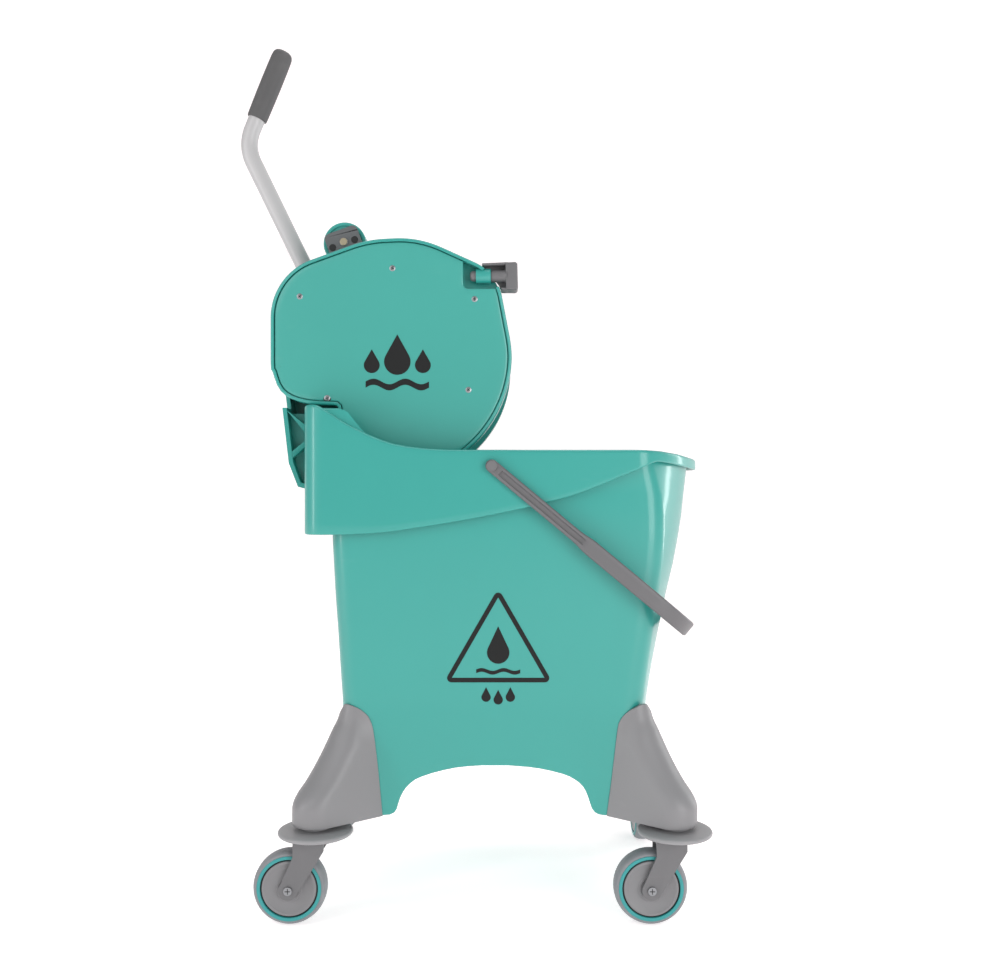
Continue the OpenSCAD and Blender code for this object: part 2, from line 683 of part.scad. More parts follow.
module press_jaw() {
    half = 68;
    color(teal) difference() {
        union() {
            rod(jaw_x, jaw_z, -half, half, 13);
            translate([jaw_x - 2.5, -half, jaw_z]) cube([5, 2 * half, 122]);
            for (y = [-half, -2.5, half - 5]) translate([jaw_x - 7, y, jaw_z]) cube([6, 5, 116]);
        }
        rod(jaw_x, jaw_z, -far, far, shaft_r);
        for (y = [-56:16:56]) translate([jaw_x, y, jaw_z + 68]) cube([10, 7, 84], center = true);
    }
}

// ---- Left and right pieces ----
module cheek_right() { cheek(); }
module cheek_left() { mirror([0, 1, 0]) cheek(latch = false); }
module cover_right() { cover(); }
module cover_left() { mirror([0, 1, 0]) cover(latch = false); }
module cover_screws() {
    color(steel) for (p = screw_spots) {
        cover_screw(p);
        mirror([0, 1, 0]) cover_screw(p);
    }
}
module lever_bushes() {
    color(black) {
        bush(lever_x, lever_z);
        mirror([0, 1, 0]) bush(lever_x, lever_z);
    }
}
module jaw_bushes() {
    color(black) {
        bush(jaw_x, jaw_z);
        mirror([0, 1, 0]) bush(jaw_x, jaw_z);
    }
}
module roller_bracket_right() { roller_bracket(); }
module roller_bracket_left() { mirror([0, 1, 0]) roller_bracket(); }

bucket();
leg_cover_rear_right();
leg_cover_rear_left();
leg_cover_front_right();
leg_cover_front_left();
bumper_rear_right();
bumper_rear_left();
bumper_front_right();
bumper_front_left();
caster_stems();
bail_pivots();
bail_handle();
fork_rear_right();
fork_rear_left();
fork_front_right();
fork_front_left();
axle_rear_right();
axle_rear_left();
axle_front_right();
axle_front_left();
tyre_rear_right();
tyre_rear_left();
tyre_front_right();
tyre_front_left();
wheel_ring_rear_right();
wheel_ring_rear_left();
wheel_ring_front_right();
wheel_ring_front_left();
hub_rear_right();
hub_rear_left();
hub_front_right();
hub_front_left();
cheek_right();
cheek_left();
cover_right();
cover_left();
cover_screws();
hook_bracket();
front_grille();
tie_rods();
lever_bushes();
jaw_bushes();
roller_bracket_right();
roller_bracket_left();
bracket_plugs();
bracket_screws();
roller_axle();
guide_roller();
latch_bar();
lever_shaft();
pinions();
lever_hub();
hub_bolt();
lever_tube();
lever_grip();
return_springs();
press_jaw();
jaw_shaft();
sector_gears();
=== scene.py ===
"""Looks of the mop bucket with its geared wringer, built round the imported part, in metres."""
import bpy, bmesh, math
import numpy as np
from mathutils import Matrix, Vector


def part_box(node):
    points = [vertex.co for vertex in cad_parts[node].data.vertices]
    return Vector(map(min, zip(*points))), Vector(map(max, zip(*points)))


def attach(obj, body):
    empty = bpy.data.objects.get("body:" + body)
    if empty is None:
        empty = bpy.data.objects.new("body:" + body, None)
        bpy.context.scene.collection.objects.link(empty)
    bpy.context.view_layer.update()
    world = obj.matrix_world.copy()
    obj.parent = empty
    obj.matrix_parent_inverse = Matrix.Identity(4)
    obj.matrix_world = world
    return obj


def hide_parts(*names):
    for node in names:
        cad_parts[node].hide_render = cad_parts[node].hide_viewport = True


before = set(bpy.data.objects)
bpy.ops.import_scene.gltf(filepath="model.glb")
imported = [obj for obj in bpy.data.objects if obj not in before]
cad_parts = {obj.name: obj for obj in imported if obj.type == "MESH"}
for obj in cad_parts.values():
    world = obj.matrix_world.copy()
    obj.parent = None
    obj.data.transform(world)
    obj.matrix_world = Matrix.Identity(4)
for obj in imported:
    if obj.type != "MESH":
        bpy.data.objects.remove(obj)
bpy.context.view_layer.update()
MM = 0.001
CORNERS = [("rear_right", -1, -1), ("rear_left", -1, 1), ("front_right", 1, -1), ("front_left", 1, 1)]


# ---- Finishes ----
class Wire:
    """One node socket that can be added and multiplied."""

    def __init__(self, finish, socket):
        self.finish, self.socket = finish, socket

    def sum(self, operation, a, b):
        return self.finish.node("ShaderNodeMath", {"operation": operation}, {0: a, 1: b})

    def __add__(self, other): return self.sum("ADD", self, other)
    def __radd__(self, other): return self.sum("ADD", other, self)
    def __mul__(self, other): return self.sum("MULTIPLY", self, other)
    def __rmul__(self, other): return self.sum("MULTIPLY", other, self)


class Finish:
    """A material made of nodes."""

    def __init__(self, name):
        self.material = bpy.data.materials.new(name)
        self.material.use_nodes = True
        self.tree = self.material.node_tree
        self.shader = self.tree.nodes["Principled BSDF"]
        self.place = self.node("ShaderNodeTexCoord", out="Object")

    def node(self, kind, settings=None, inputs=None, out=0):
        made = self.tree.nodes.new(kind)
        for key, value in (settings or {}).items():
            setattr(made, key, value)
        for key, value in (inputs or {}).items():
            self.join(made.inputs[key], value)
        return Wire(self, made.outputs[out])

    def join(self, socket, value):
        if isinstance(value, Wire):
            self.tree.links.new(value.socket, socket)
        else:
            socket.default_value = value

    def set(self, **values):
        for key, value in values.items():
            self.join(self.shader.inputs[key.replace("_", " ")], value)

    def noise(self, scale, detail=2.0, stretch=None):
        place = self.place
        if stretch:
            place = self.node("ShaderNodeMapping", {}, {"Vector": place, "Scale": stretch})
        return self.node("ShaderNodeTexNoise", {}, {"Vector": place, "Scale": scale, "Detail": detail})

    def ramp(self, wire, low, high):
        """0 below low, 1 above high."""
        return self.node("ShaderNodeMapRange", {"interpolation_type": "SMOOTHSTEP"},
                         {"Value": wire, "From Min": low, "From Max": high})

    def blend(self, share, a, b):
        return self.node("ShaderNodeMix", {"data_type": "RGBA"}, {0: share, 6: a, 7: b}, out=2)

    def bump(self, height, strength, distance):
        return self.node("ShaderNodeBump", {}, {"Strength": strength, "Distance": distance, "Height": height})


def linear(rgb, gain=1.0):
    """The screen colour as the renderer's linear colour."""
    parts = [c / 255 for c in rgb]
    parts = [c / 12.92 if c <= 0.04045 else ((c + 0.055) / 1.055) ** 2.4 for c in parts]
    return (*[min(1, p * gain) for p in parts], 1)


def moulded(name, rgb, rough=0.36, grain=1.0, coat=0.0, scuffs=0.5, spread=0.05):
    """Injection-moulded plastic: cloudy pigment, fine spark-eroded grain and a few rubbed marks."""
    f = Finish(name)
    cloud = f.noise(7, 3)
    streak = f.noise(22, 4, (1, 1, 0.25))
    fine = f.noise(1500, 2)
    peel = f.noise(160, 2)
    rub = f.ramp(f.noise(38, 6, (0.35, 1, 1.6)), 0.62, 0.78) * f.ramp(f.noise(5, 2), 0.5, 0.7)
    base = f.blend(0.75 * cloud + 0.25 * streak, linear(rgb, 1 - spread), linear(rgb, 1 + spread))
    base = f.blend(rub * (0.05 * scuffs), base, (0.9, 0.9, 0.9, 1))
    f.set(Base_Color=base, Roughness=rough - 0.03 + 0.06 * cloud + 0.04 * fine + rub * (0.14 * scuffs),
          Normal=f.bump(fine * 0.6 + peel * 0.4, 0.10 * grain, 0.0004))
    f.shader.inputs["IOR"].default_value = 1.49
    if coat:
        f.shader.inputs["Coat Weight"].default_value = coat
        f.shader.inputs["Coat Roughness"].default_value = 0.12
    return f.material


def rubbery(name, rgb, rough=0.6, dust=0.2):
    """Tyre and grip rubber: matt, finely pitted, with dust in the pits."""
    f = Finish(name)
    cloud, pits, fine = f.noise(14, 3), f.noise(900, 2), f.noise(2600, 1)
    dusty = f.ramp(f.noise(55, 5), 0.45, 0.75)
    base = f.blend(cloud, linear(rgb, 0.93), linear(rgb, 1.07))
    base = f.blend(dusty * dust, base, linear((190, 190, 188)))
    f.set(Base_Color=base, Roughness=rough + 0.1 * cloud + dusty * 0.1,
          Normal=f.bump(0.6 * pits + 0.4 * fine, 0.3, 0.0003))
    return f.material


def metal(name, rgb, rough):
    """Plated or bare steel with drawing lines and small dull spots."""
    f = Finish(name)
    drawn, cloud = f.noise(60, 4, (1, 60, 1)), f.noise(30, 3)
    dull = f.ramp(f.noise(140, 4), 0.58, 0.75)
    base = f.blend(cloud, linear(rgb, 0.9), linear(rgb, 1.05))
    base = f.blend(dull * 0.25, base, linear(rgb, 0.55))
    f.set(Base_Color=base, Roughness=rough + 0.1 * drawn + 0.12 * dull,
          Normal=f.bump(drawn, 0.12, 0.0002))
    f.shader.inputs["Metallic"].default_value = 1.0
    return f.material


def painted(name, rgb, rough=0.34):
    """Powder-coated tube with a fine orange-peel skin."""
    f = Finish(name)
    cloud, peel = f.noise(16, 3), f.noise(420, 3)
    base = f.blend(cloud, linear(rgb, 0.95), linear(rgb, 1.05))
    f.set(Base_Color=base, Roughness=rough + 0.06 * cloud, Normal=f.bump(peel, 0.16, 0.0004))
    f.shader.inputs["Coat Weight"].default_value = 0.15
    f.shader.inputs["Coat Roughness"].default_value = 0.2
    return f.material


FINISH = {
    "teal": moulded("teal plastic", (45, 150, 141), 0.36, coat=0.35),
    "cover": moulded("gear cover plastic", (59, 154, 144), 0.34, coat=0.3),
    # A very dark teal for the rings under the cover screws: painted shade.
    "painted_shade_teal": moulded("teal in painted shade", (6, 52, 44), 0.6, scuffs=0),
    "ring": moulded("wheel ring plastic", (48, 146, 146), 0.36),
    "leg": moulded("grey leg plastic", (129, 129, 131), 0.4),
    # Partly the bumpers' own grey, partly painted light: lifted above the legs' grey to make up for the shade
    # the legs cast on the discs.
    "disc": moulded("grey bumper plastic with painted light", (142, 142, 144), 0.44),
    "fork": moulded("grey fork plastic", (104, 104, 106), 0.42),
    "bail": moulded("grey bail plastic", (99, 99, 101), 0.42),
    "hub": moulded("grey wheel hub plastic", (124, 124, 126), 0.4),
    "latch": moulded("grey latch plastic", (100, 100, 102), 0.4),
    "bracket": moulded("dark grey bracket plastic", (92, 94, 96), 0.42),
    # Black plastic for the bushes and plugs, and also the painted shade in the wheels' gaps and the screws'
    # cross recesses.
    "black": moulded("black plastic and painted shade", (24, 25, 26), 0.45, scuffs=0.3),
    "grip": rubbery("grip rubber", (80, 80, 81), 0.56, 0.05),
    "tyre": rubbery("tyre rubber", (124, 127, 131), 0.5, 0.12),
    "tube": painted("painted tube", (176, 176, 177)),
    "steel": metal("plated steel", (150, 152, 155), 0.34),
    "brass": metal("yellow plated screw", (186, 176, 150), 0.34),
    "print": moulded("printed ink", (3, 6, 7), 0.75, 0.2, scuffs=0.05),
}


# ---- Shapes, all in millimetres until a piece is finished ----
MANY_SIDES = 16                  # a face with more corners than this is a flat end, and isn't smoothed
BROKEN_EDGE = 38                 # an edge sharper than this, in degrees, is broken by a soft edge
NODE_CREASE = 34                 # an edge of a copied node that stays sharp, in degrees


def piece(name, bm, finish, body, nodes=(), crease=38):
    """Turns the mesh into a named piece that rides on a body and stands for its nodes."""
    bmesh.ops.remove_doubles(bm, verts=bm.verts, dist=0.002)
    bmesh.ops.recalc_face_normals(bm, faces=bm.faces)
    return stand(name, bm, finish, body, nodes, crease, MM)


def stand(name, bm, finish, body, nodes, crease, scale=1.0, soften=0.0):
    """The mesh as an object on its body. soften is the width of its broken edges, in millimetres."""
    bmesh.ops.scale(bm, vec=(scale,) * 3, verts=bm.verts)
    mesh = bpy.data.meshes.new(name)
    bm.to_mesh(mesh)
    bm.free()
    mesh.shade_smooth()
    for flat in mesh.polygons:
        if len(flat.vertices) > MANY_SIDES:
            flat.use_smooth = False
    mesh.set_sharp_from_angle(angle=math.radians(crease))
    obj = bpy.data.objects.new(name, mesh)
    bpy.context.scene.collection.objects.link(obj)
    mesh.materials.append(FINISH[finish])
    if soften:
        edge = obj.modifiers.new("soft edges", "BEVEL")
        edge.width, edge.segments, edge.limit_method = soften * MM, 2, "ANGLE"
        edge.angle_limit, edge.harden_normals = math.radians(BROKEN_EDGE), True
    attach(obj, body)
    if nodes:
        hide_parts(*nodes)
    return obj


def softened(node, finish, body, soften):
    """A merged copy of a node with its sharp edges broken."""
    bm = bmesh.new()
    bm.from_mesh(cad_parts[node].data)
    bmesh.ops.remove_doubles(bm, verts=bm.verts, dist=1e-6)
    bmesh.ops.dissolve_limit(bm, angle_limit=math.radians(0.6), verts=bm.verts, edges=bm.edges)
    return stand(node + "_soft", bm, finish, body, (node,), NODE_CREASE, soften=soften)


def loft(bm, rings, closed=True, low_cap=False, high_cap=False):
    """Extrudes the first ring of points through all the others."""
    row = [bm.verts.new(p) for p in rings[0]]
    count = len(row)
    edges = [bm.edges.new((row[i], row[(i + 1) % count])) for i in range(count if closed else count - 1)]
    if low_cap:
        bm.faces.new(row)
    for points in rings[1:]:
        made = bmesh.ops.extrude_edge_only(bm, edges=edges)["geom"]
        fresh = {v for v in made if isinstance(v, bmesh.types.BMVert)}
        row = [next(e.other_vert(v) for e in v.link_edges if e.other_vert(v) in fresh) for v in row]
        for v, p in zip(row, points):
            v.co = p
        edges = [e for e in made if isinstance(e, bmesh.types.BMEdge)
                 and e.verts[0] in fresh and e.verts[1] in fresh]
    if high_cap:
        bm.faces.new(row)
    return row


def turned(bm, profile, at, axis="Y", steps=96):
    """Spins a profile of (radius, height) about an axis through a point."""
    made = [bm.verts.new((r, 0, h)) for r, h in profile]
    edges = [bm.edges.new(pair) for pair in zip(made, made[1:])]
    bmesh.ops.spin(bm, geom=made + edges, cent=(0, 0, 0), axis=(0, 0, 1), angle=math.tau,
                   steps=steps, use_merge=True, use_duplicate=False)
    fresh = reached(made)
    bmesh.ops.remove_doubles(bm, verts=fresh, dist=0.002)
    fresh = [v for v in fresh if v.is_valid]
    turn = {"Y": Matrix.Rotation(math.radians(-90), 4, "X"), "Z": Matrix.Identity(4),
            "X": Matrix.Rotation(math.radians(90), 4, "Y")}[axis]
    bmesh.ops.transform(bm, matrix=Matrix.Translation(at) @ turn, verts=fresh)


def reached(start):
    """Every vertex joined to these by edges."""
    found, new = set(start), list(start)
    while new:
        new = [e.other_vert(v) for v in new for e in v.link_edges if e.other_vert(v) not in found]
        new = list(dict.fromkeys(new))
        found.update(new)
    return list(found)


def inset(points, by):
    """The anticlockwise outline moved inwards. A point that would fold over goes between its neighbours."""
    out, n = [], len(points)
    edge = np.array([(p[0], p[1]) for p in points])
    run = np.roll(edge, -1, 0) - edge
    square = np.maximum((run ** 2).sum(1), 1e-12)
    for i in range(n):
        a, b, c = (Vector(points[(i + k) % n][:2]) for k in (-1, 0, 1))
        u, w = (b - a).normalized(), (c - b).normalized()
        nu, nw = Vector((-u.y, u.x)), Vector((-w.y, w.x))
        mid = nu + nw
        if mid.length < 1e-6:
            mid = nu.copy()
        mid = mid.normalized()
        moved = b + mid * (by / max(0.45, mid.dot(nu)))
        on = np.clip((((moved.x, moved.y) - edge) * run).sum(1) / square, 0, 1)
        near = np.sqrt((((moved.x, moved.y) - edge - run * on[:, None]) ** 2).sum(1).min())
        out.append(moved if near > by * 0.97 - 0.01 else None)
    kept = [i for i in range(n) if out[i] is not None]
    for i in range(n):
        if out[i] is None:
            a = max((k for k in kept if k < i), default=kept[-1])
            b = min((k for k in kept if k > i), default=kept[0])
            out[i] = out[a].lerp(out[b], 0.5)
    return out


def area(points):
    return sum(a[0] * b[1] - b[0] * a[1] for a, b in zip(points, points[1:] + points[:1])) / 2


def anticlockwise(points):
    return points if area(points) > 0 else points[::-1]


def rounded(points, radius, steps=6):
    """An outline whose corners are rounded. radius is one number or one for each corner."""
    out, n = [], len(points)
    for i in range(n):
        r = radius[i] if isinstance(radius, (list, tuple)) else radius
        a, b, c = (Vector(points[(i + k) % n]) for k in (-1, 0, 1))
        u, w = (a - b).normalized(), (c - b).normalized()
        half = math.acos(max(-1, min(1, u.dot(w)))) / 2
        if r <= 0 or half > math.radians(88):
            out.append(b)
            continue
        cut = min(r / math.tan(half), (a - b).length * 0.49, (c - b).length * 0.49)
        r = cut * math.tan(half)
        centre = b + (u + w).normalized() * (r / math.sin(half))
        p, q = b + u * cut, b + w * cut
        start, end = math.atan2(*(p - centre).yx), math.atan2(*(q - centre).yx)
        turn = (end - start + math.pi) % math.tau - math.pi
        out += [centre + r * Vector((math.cos(start + turn * k / steps), math.sin(start + turn * k / steps)))
                for k in range(steps + 1)]
    return out


def slab(bm, outline, y0, y1, edge):
    """A plate standing in the XZ plane from y0 to y1, its rim at y1 rounded by edge."""
    outline = anticlockwise([Vector(p) for p in outline])
    way = 1 if y1 > y0 else -1
    rings = [(0, y0)]
    for k in range(5):
        a = math.pi / 2 * k / 4
        rings.append((edge * (1 - math.cos(a)), y1 - way * edge * (1 - math.sin(a))))
    loft(bm, [[(p.x, y, p.y) for p in inset(outline, d)] for d, y in rings], low_cap=True, high_cap=True)


def resampled(points, step):
    """The closed outline with extra points so that none are further apart than step."""
    out = []
    for a, b in zip(points, points[1:] + points[:1]):
        parts = max(1, math.ceil((b - a).length / step))
        out += [a.lerp(b, k / parts) for k in range(parts)]
    return out


def along(x, table):
    """The value at x of a table of (x, value)."""
    return float(np.interp(x, [p[0] for p in table], [p[1] for p in table]))


# ---- Bucket ----
RIM_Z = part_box("bucket")[1].z / MM - 50          # straight part of the side rim, below the raised back
SKIRT_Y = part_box("bucket")[1].y / MM
LIP_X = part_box("bucket")[1].x / MM
REAR_X = -177.5                                  # back of the skirt
FOOT_Z = 107                                     # bottom of the legs
FLOOR_Z, FLOOR_TOP = 167, 168                    # under and upper side of the bucket's floor
LEG_WALL, SKIRT_WALL, BODY_WALL = 3.2, 3.4, 4    # wall thicknesses
# Heights of the rim and of the skirt's lower edge along X
RIM_LINE = [(-200, 565), (-172, 565), (-165, 564.6), (-159, 563.2), (-150, 558), (-139, 550.6),
            (-124, 541.5), (-108, 533.6), (-93, 527), (-78, 522), (-62, 518.8), (-47, 517),
            (-30, 515.6), (-10, 515),
            (190, 515), (220, 514), (243, 511.4), (262, 508), (285, 505.3)]
SKIRT_LINE = [(-200, 421), (-139, 421.5), (-115, 422.3), (-94, 423.4), (-74, 425.6), (-53, 428.8),
              (-28, 432.6), (0, 437.4), (35, 444), (70, 451.4), (107, 460.8), (130, 468), (153, 477),
              (175, 486.4), (190, 492.4), (200, 496.6), (209, 500.4), (216, 502), (224, 501.6), (240, 499),
              (258, 496), (272, 494), (285, 493)]
# Arch between the legs on the long sides, along X, and on the ends, along Y
ARCH = [(-300, 108), (-90, 108), (-82, 108.8), (-77.4, 111), (-74.6, 115), (-73, 120.5), (-70.8, 127.5),
        (-67.4, 134.3), (-64.1, 139), (-60, 143.2), (-54, 147.8), (-47, 151), (-35, 155), (-22, 158.4),
        (-9, 161), (5, 162.6), (20, 163.5), (50, 163.5), (72, 161.8), (85, 160), (98, 157.3), (110, 154.2),
        (118, 151.2), (124, 147.8), (129, 144.2), (133, 140), (136, 135), (138.6, 128.5), (141, 121),
        (143, 115.5), (146, 111.5), (150, 109.2), (156, 108), (300, 108)]
END_ARCH = [(0, 158), (57, 158), (66, 155.5), (72, 150), (76, 142), (78, 134), (79.5, 122), (81, 113),
            (84, 108)]
# Places of the outline's points: across the ends and along the sides
REAR_YS = [0, 14, 28, 42, 52, 60, 66, 70, 73, 76, 78, 79.5, 81, 84, 92]
SIDE_XS = sorted([p[0] for p in ARCH[1:-1]] + [-100, 31, 62])
# The body's back, nose and half width at each height
REAR_TABLE = [(108, -136.4), (228, -137.4), (242, -138), (260, -139.3), (304, -141.6), (348, -144.6),
              (412, -147.7), (566, -150)]
NOSE_TABLE = [(107, 200), (235, 218.2), (265, 223.2), (282, 226.8), (312, 233), (340, 238.6), (367, 246.6),
              (402, 254), (437, 260.2), (471, 264.4), (493, 266.6), (515, 268.6)]
HALF_TABLE = [(108, 126), (228, 126), (235, 126.2), (242, 126.6), (440, 135), (566, 135.7)]


def plan(rear, half, nose, bow, corner, back_corner):
    """Outline seen from above: a box with rounded corners and a bowed front, always of the same points."""
    centre = nose - bow
    fx = centre + math.sqrt((bow - corner) ** 2 - (half - corner) ** 2)
    turn = math.atan2(half - corner, fx - centre)
    pts = [(rear, y) for y in REAR_YS]
    for k in range(11):
        a = math.pi - math.pi / 2 * k / 10
        pts.append((rear + back_corner * (1 + math.cos(a)), half - back_corner * (1 - math.sin(a))))
    start = rear + back_corner
    pts += [(start + (SIDE_XS[0] - start) * k / 8, half) for k in range(1, 8)]
    pts += [(x, half) for x in SIDE_XS]
    pts += [(SIDE_XS[-1] + (fx - SIDE_XS[-1]) * k / 4, half) for k in range(1, 4)]
    for k in range(15):
        a = math.pi / 2 + (turn - math.pi / 2) * k / 14
        pts.append((fx + corner * math.cos(a), half - corner + corner * math.sin(a)))
    last = math.asin(REAR_YS[-1] / bow)
    for k in range(1, 8):
        a = turn + (last - turn) * k / 8
        pts.append((centre + bow * math.cos(a), bow * math.sin(a)))
    pts += [(centre + math.sqrt(bow * bow - y * y), y) for y in REAR_YS[::-1]]
    return pts + [(x, -y) for x, y in pts[-2:0:-1]]


def body_plan(z, into=0.0):
    """The body's outline at a height, moved inwards."""
    share = (z - FOOT_Z) / (RIM_Z - FOOT_Z)
    nose, bow = along(z, NOSE_TABLE), 500 - 335 * min(1, share)
    return plan(along(z, REAR_TABLE) + into, along(z, HALF_TABLE) - into, nose - into, bow - into,
                26 - into, 22 - into)


def skirt_plan(into=0.0):
    """The skirt's outline, moved inwards."""
    return plan(REAR_X + into, SKIRT_Y - into, LIP_X - into, 174 - into, 30 - into, 24 - into)


def level(points, z):
    return [(x, y, z) for x, y in points]


def outward(points):
    """Level unit vectors that point out of a closed outline."""
    n = len(points)
    out = []
    for i in range(n):
        a, b = Vector(points[i - 1][:2]), Vector(points[(i + 1) % n][:2])
        t = (b - a).normalized()
        out.append(Vector((-t.y, t.x, 0)))
    return out


def edge_rings(ring, wall):
    """Rings round the free lower edge of a wall, from its outer face to its inner face."""
    n, r = len(ring), wall / 2
    out = outward(ring)
    rings = [[] for _ in range(7)]
    into_wall = [out[i].cross((Vector(ring[(i + 1) % n]) - Vector(ring[i - 1])).normalized()).normalized()
                 for i in range(n)]
    sign = 1 if sum(m.z for m in into_wall) > 0 else -1
    for i in range(n):
        m = into_wall[i] * sign
        for k in range(7):
            a = math.pi * k / 6
            rings[k].append(Vector(ring[i]) + m * (r - r * math.sin(a)) - out[i] * (r - r * math.cos(a)))
    return rings


def arch_height(x, y):
    """Height of the legs' bottom edge at a place on the outline."""
    if abs(y) < 100:
        return along(abs(y), END_ARCH) if (x < -100 or x > 150) else along(x, ARCH)
    return along(x, ARCH)


def bucket():
    bm = bmesh.new()
    low = [(x, y, arch_height(x, y)) for x, y in body_plan(150)]
    legs = edge_rings([(x, y, z) for (x, y), (_, _, z) in zip(body_plan(120), low)], LEG_WALL)
    wall_zs = [170, 185, 205, 222, 229, 235, 241, 252, 275, 310, 350, 385, 410, 420, 440, 465]
    rings = [level(body_plan(FLOOR_Z, 22), FLOOR_Z), level(body_plan(FLOOR_Z, LEG_WALL), FLOOR_Z)]
    rings += legs[::-1]
    rings += [level(body_plan(z), z) for z in wall_zs]
    skirt = skirt_plan()
    top = [along(x, RIM_LINE) for x, y in skirt]
    rings.append([(x, y, t - 9) for (x, y), t in zip(body_plan(RIM_Z - 9), top)])
    rings.append([(x, y, t - 5.5) for (x, y), t in zip(body_plan(RIM_Z, -1.2), top)])
    rings.append([(x, y, t - 3.6) for (x, y), t in zip(body_plan(RIM_Z, -3.5), top)])
    inner = skirt_plan(SKIRT_WALL)
    rings.append([(x, y, t - 3.6) for (x, y), t in zip(skirt_plan(5), top)])
    rings.append([(x, y, t - 5.4) for (x, y), t in zip(inner, top)])
    bottom = [along(x, SKIRT_LINE) for x, y in skirt]
    for share in (0.2, 0.5, 0.8):
        rings.append([(x, y, (t - 5) * (1 - share) + (b + 2) * share)
                      for (x, y), t, b in zip(inner, top, bottom)])
    rings += edge_rings([(x, y, b) for (x, y), b in zip(skirt, bottom)], SKIRT_WALL)[::-1]
    for share in (0.08, 0.3, 0.55, 0.8, 0.93):
        rings.append([(x, y, (b + 2) * (1 - share) + (t - 4) * share)
                      for (x, y), t, b in zip(skirt, top, bottom)])
    for k in range(6):
        a = math.pi / 2 * k / 5
        d, h = 3.6 * (1 - math.cos(a)), 3.6 * (1 - math.sin(a))
        rings.append([(x, y, t - h) for (x, y), t in zip(skirt_plan(d), top)])
    for k in range(6):
        a = math.pi / 2 * k / 5
        d, h = 1.2 + 2.8 * math.sin(a), 2.8 * (1 - math.cos(a))
        rings.append([(x, y, along(x, RIM_LINE) - h) for x, y in body_plan(RIM_Z, d)])
    for z in [488, 465, 440, 410, 385, 350, 310, 275, 241, 235, 229, 205, 185, 174]:
        rings.append(level(body_plan(z, BODY_WALL), z))
    rings += [level(body_plan(170, 5.5), 169.6), level(body_plan(FLOOR_TOP, 9), FLOOR_TOP),
              level(body_plan(FLOOR_TOP, 24), FLOOR_TOP)]
    loft(bm, rings, low_cap=True, high_cap=True)
    piece("bucket_shell", bm, "teal", "bucket", ("bucket",), crease=50)


bucket()


# ---- Leg covers, bumpers and casters ----
def side_points(outer, radius, a, b):
    """Section of a leg cover: from edge a on the long wall, round its nose, to edge b on the end wall."""
    centre = Vector(outer) - Vector((radius, radius))

    def touch(p, way):
        if p.x > centre.x and p.y > centre.y:
            return centre + radius * (p - centre).normalized()
        d = centre - p
        reach = d.length
        turn = math.asin(min(1, radius / reach)) * way
        along_ = math.sqrt(max(0, reach * reach - radius * radius))
        return p + Matrix.Rotation(turn, 2) @ d.normalized() * along_

    a, b = Vector(a), Vector(b)
    p, q = touch(a, 1), touch(b, -1)
    start, end = math.atan2(*(p - centre).yx), math.atan2(*(q - centre).yx)
    turn = (end - start + math.pi) % math.tau - math.pi
    pts = [a.lerp(p, k / 5) for k in range(5)]
    pts += [centre + radius * Vector((math.cos(start + turn * k / 16), math.sin(start + turn * k / 16)))
            for k in range(17)]
    pts += [q.lerp(b, k / 5) for k in range(1, 6)]
    if a.x > centre.x:
        pts[:5] = [p.copy() for _ in range(5)]
    if b.y > centre.y:
        pts[22:] = [q.copy() for _ in range(5)]
    past_a, past_b = a.x > centre.x, b.y > centre.y
    deep_a = centre + (radius - 4) * (p - centre).normalized() if past_a else Vector((a.x, a.y - INTO_WALL))
    deep_b = centre + (radius - 4) * (q - centre).normalized() if past_b else Vector((b.x - INTO_WALL, b.y))
    corner_in = (deep_a + deep_b) / 2 if past_a or past_b else Vector((b.x - INTO_WALL, a.y - INTO_WALL))
    return pts + [deep_b, corner_in, deep_a]


INTO_WALL = 5                    # how far a cover's hidden inner side lies behind the wall's face
NARROWS_Z = 190                  # above this height a cover draws in to its tip
# At each height: how far a cover stands off the body, and where its edge on the long wall is
FLARE = [(98, 50.4), (128, 50.2), (134, 48.6), (142, 44), (152, 36.5), (167, 28), (180, 21.5), (193, 15.5),
         (204, 10.5), (212, 6.2), (220, 3.6), (226, 1.9), (229, 1.0), (232, 0.2)]
EDGE_REAR = [(98, 89), (110, 90.4), (165, 95.6), (193, 99), (205, 100.9), (212.3, 102.9), (219.3, 106.4),
             (225.5, 113.5), (228, 118), (229.9, 123.2), (231.6, 131.1)]
EDGE_FRONT = [(98, 158.6), (111, 159.7), (148, 164.7), (190, 169.6), (203, 171.2), (211, 172.6), (217, 176),
              (222, 180.5), (226.5, 187), (229.5, 194), (231.5, 200), (233, 202)]
LEVELS = [108, 109, 112, 118, 127, 131, 136, 142, 150, 160, 170, 180, 190, 198, 205, 210, 214.5, 218, 221,
          223.5, 226, 228, 229.8, 231.2]


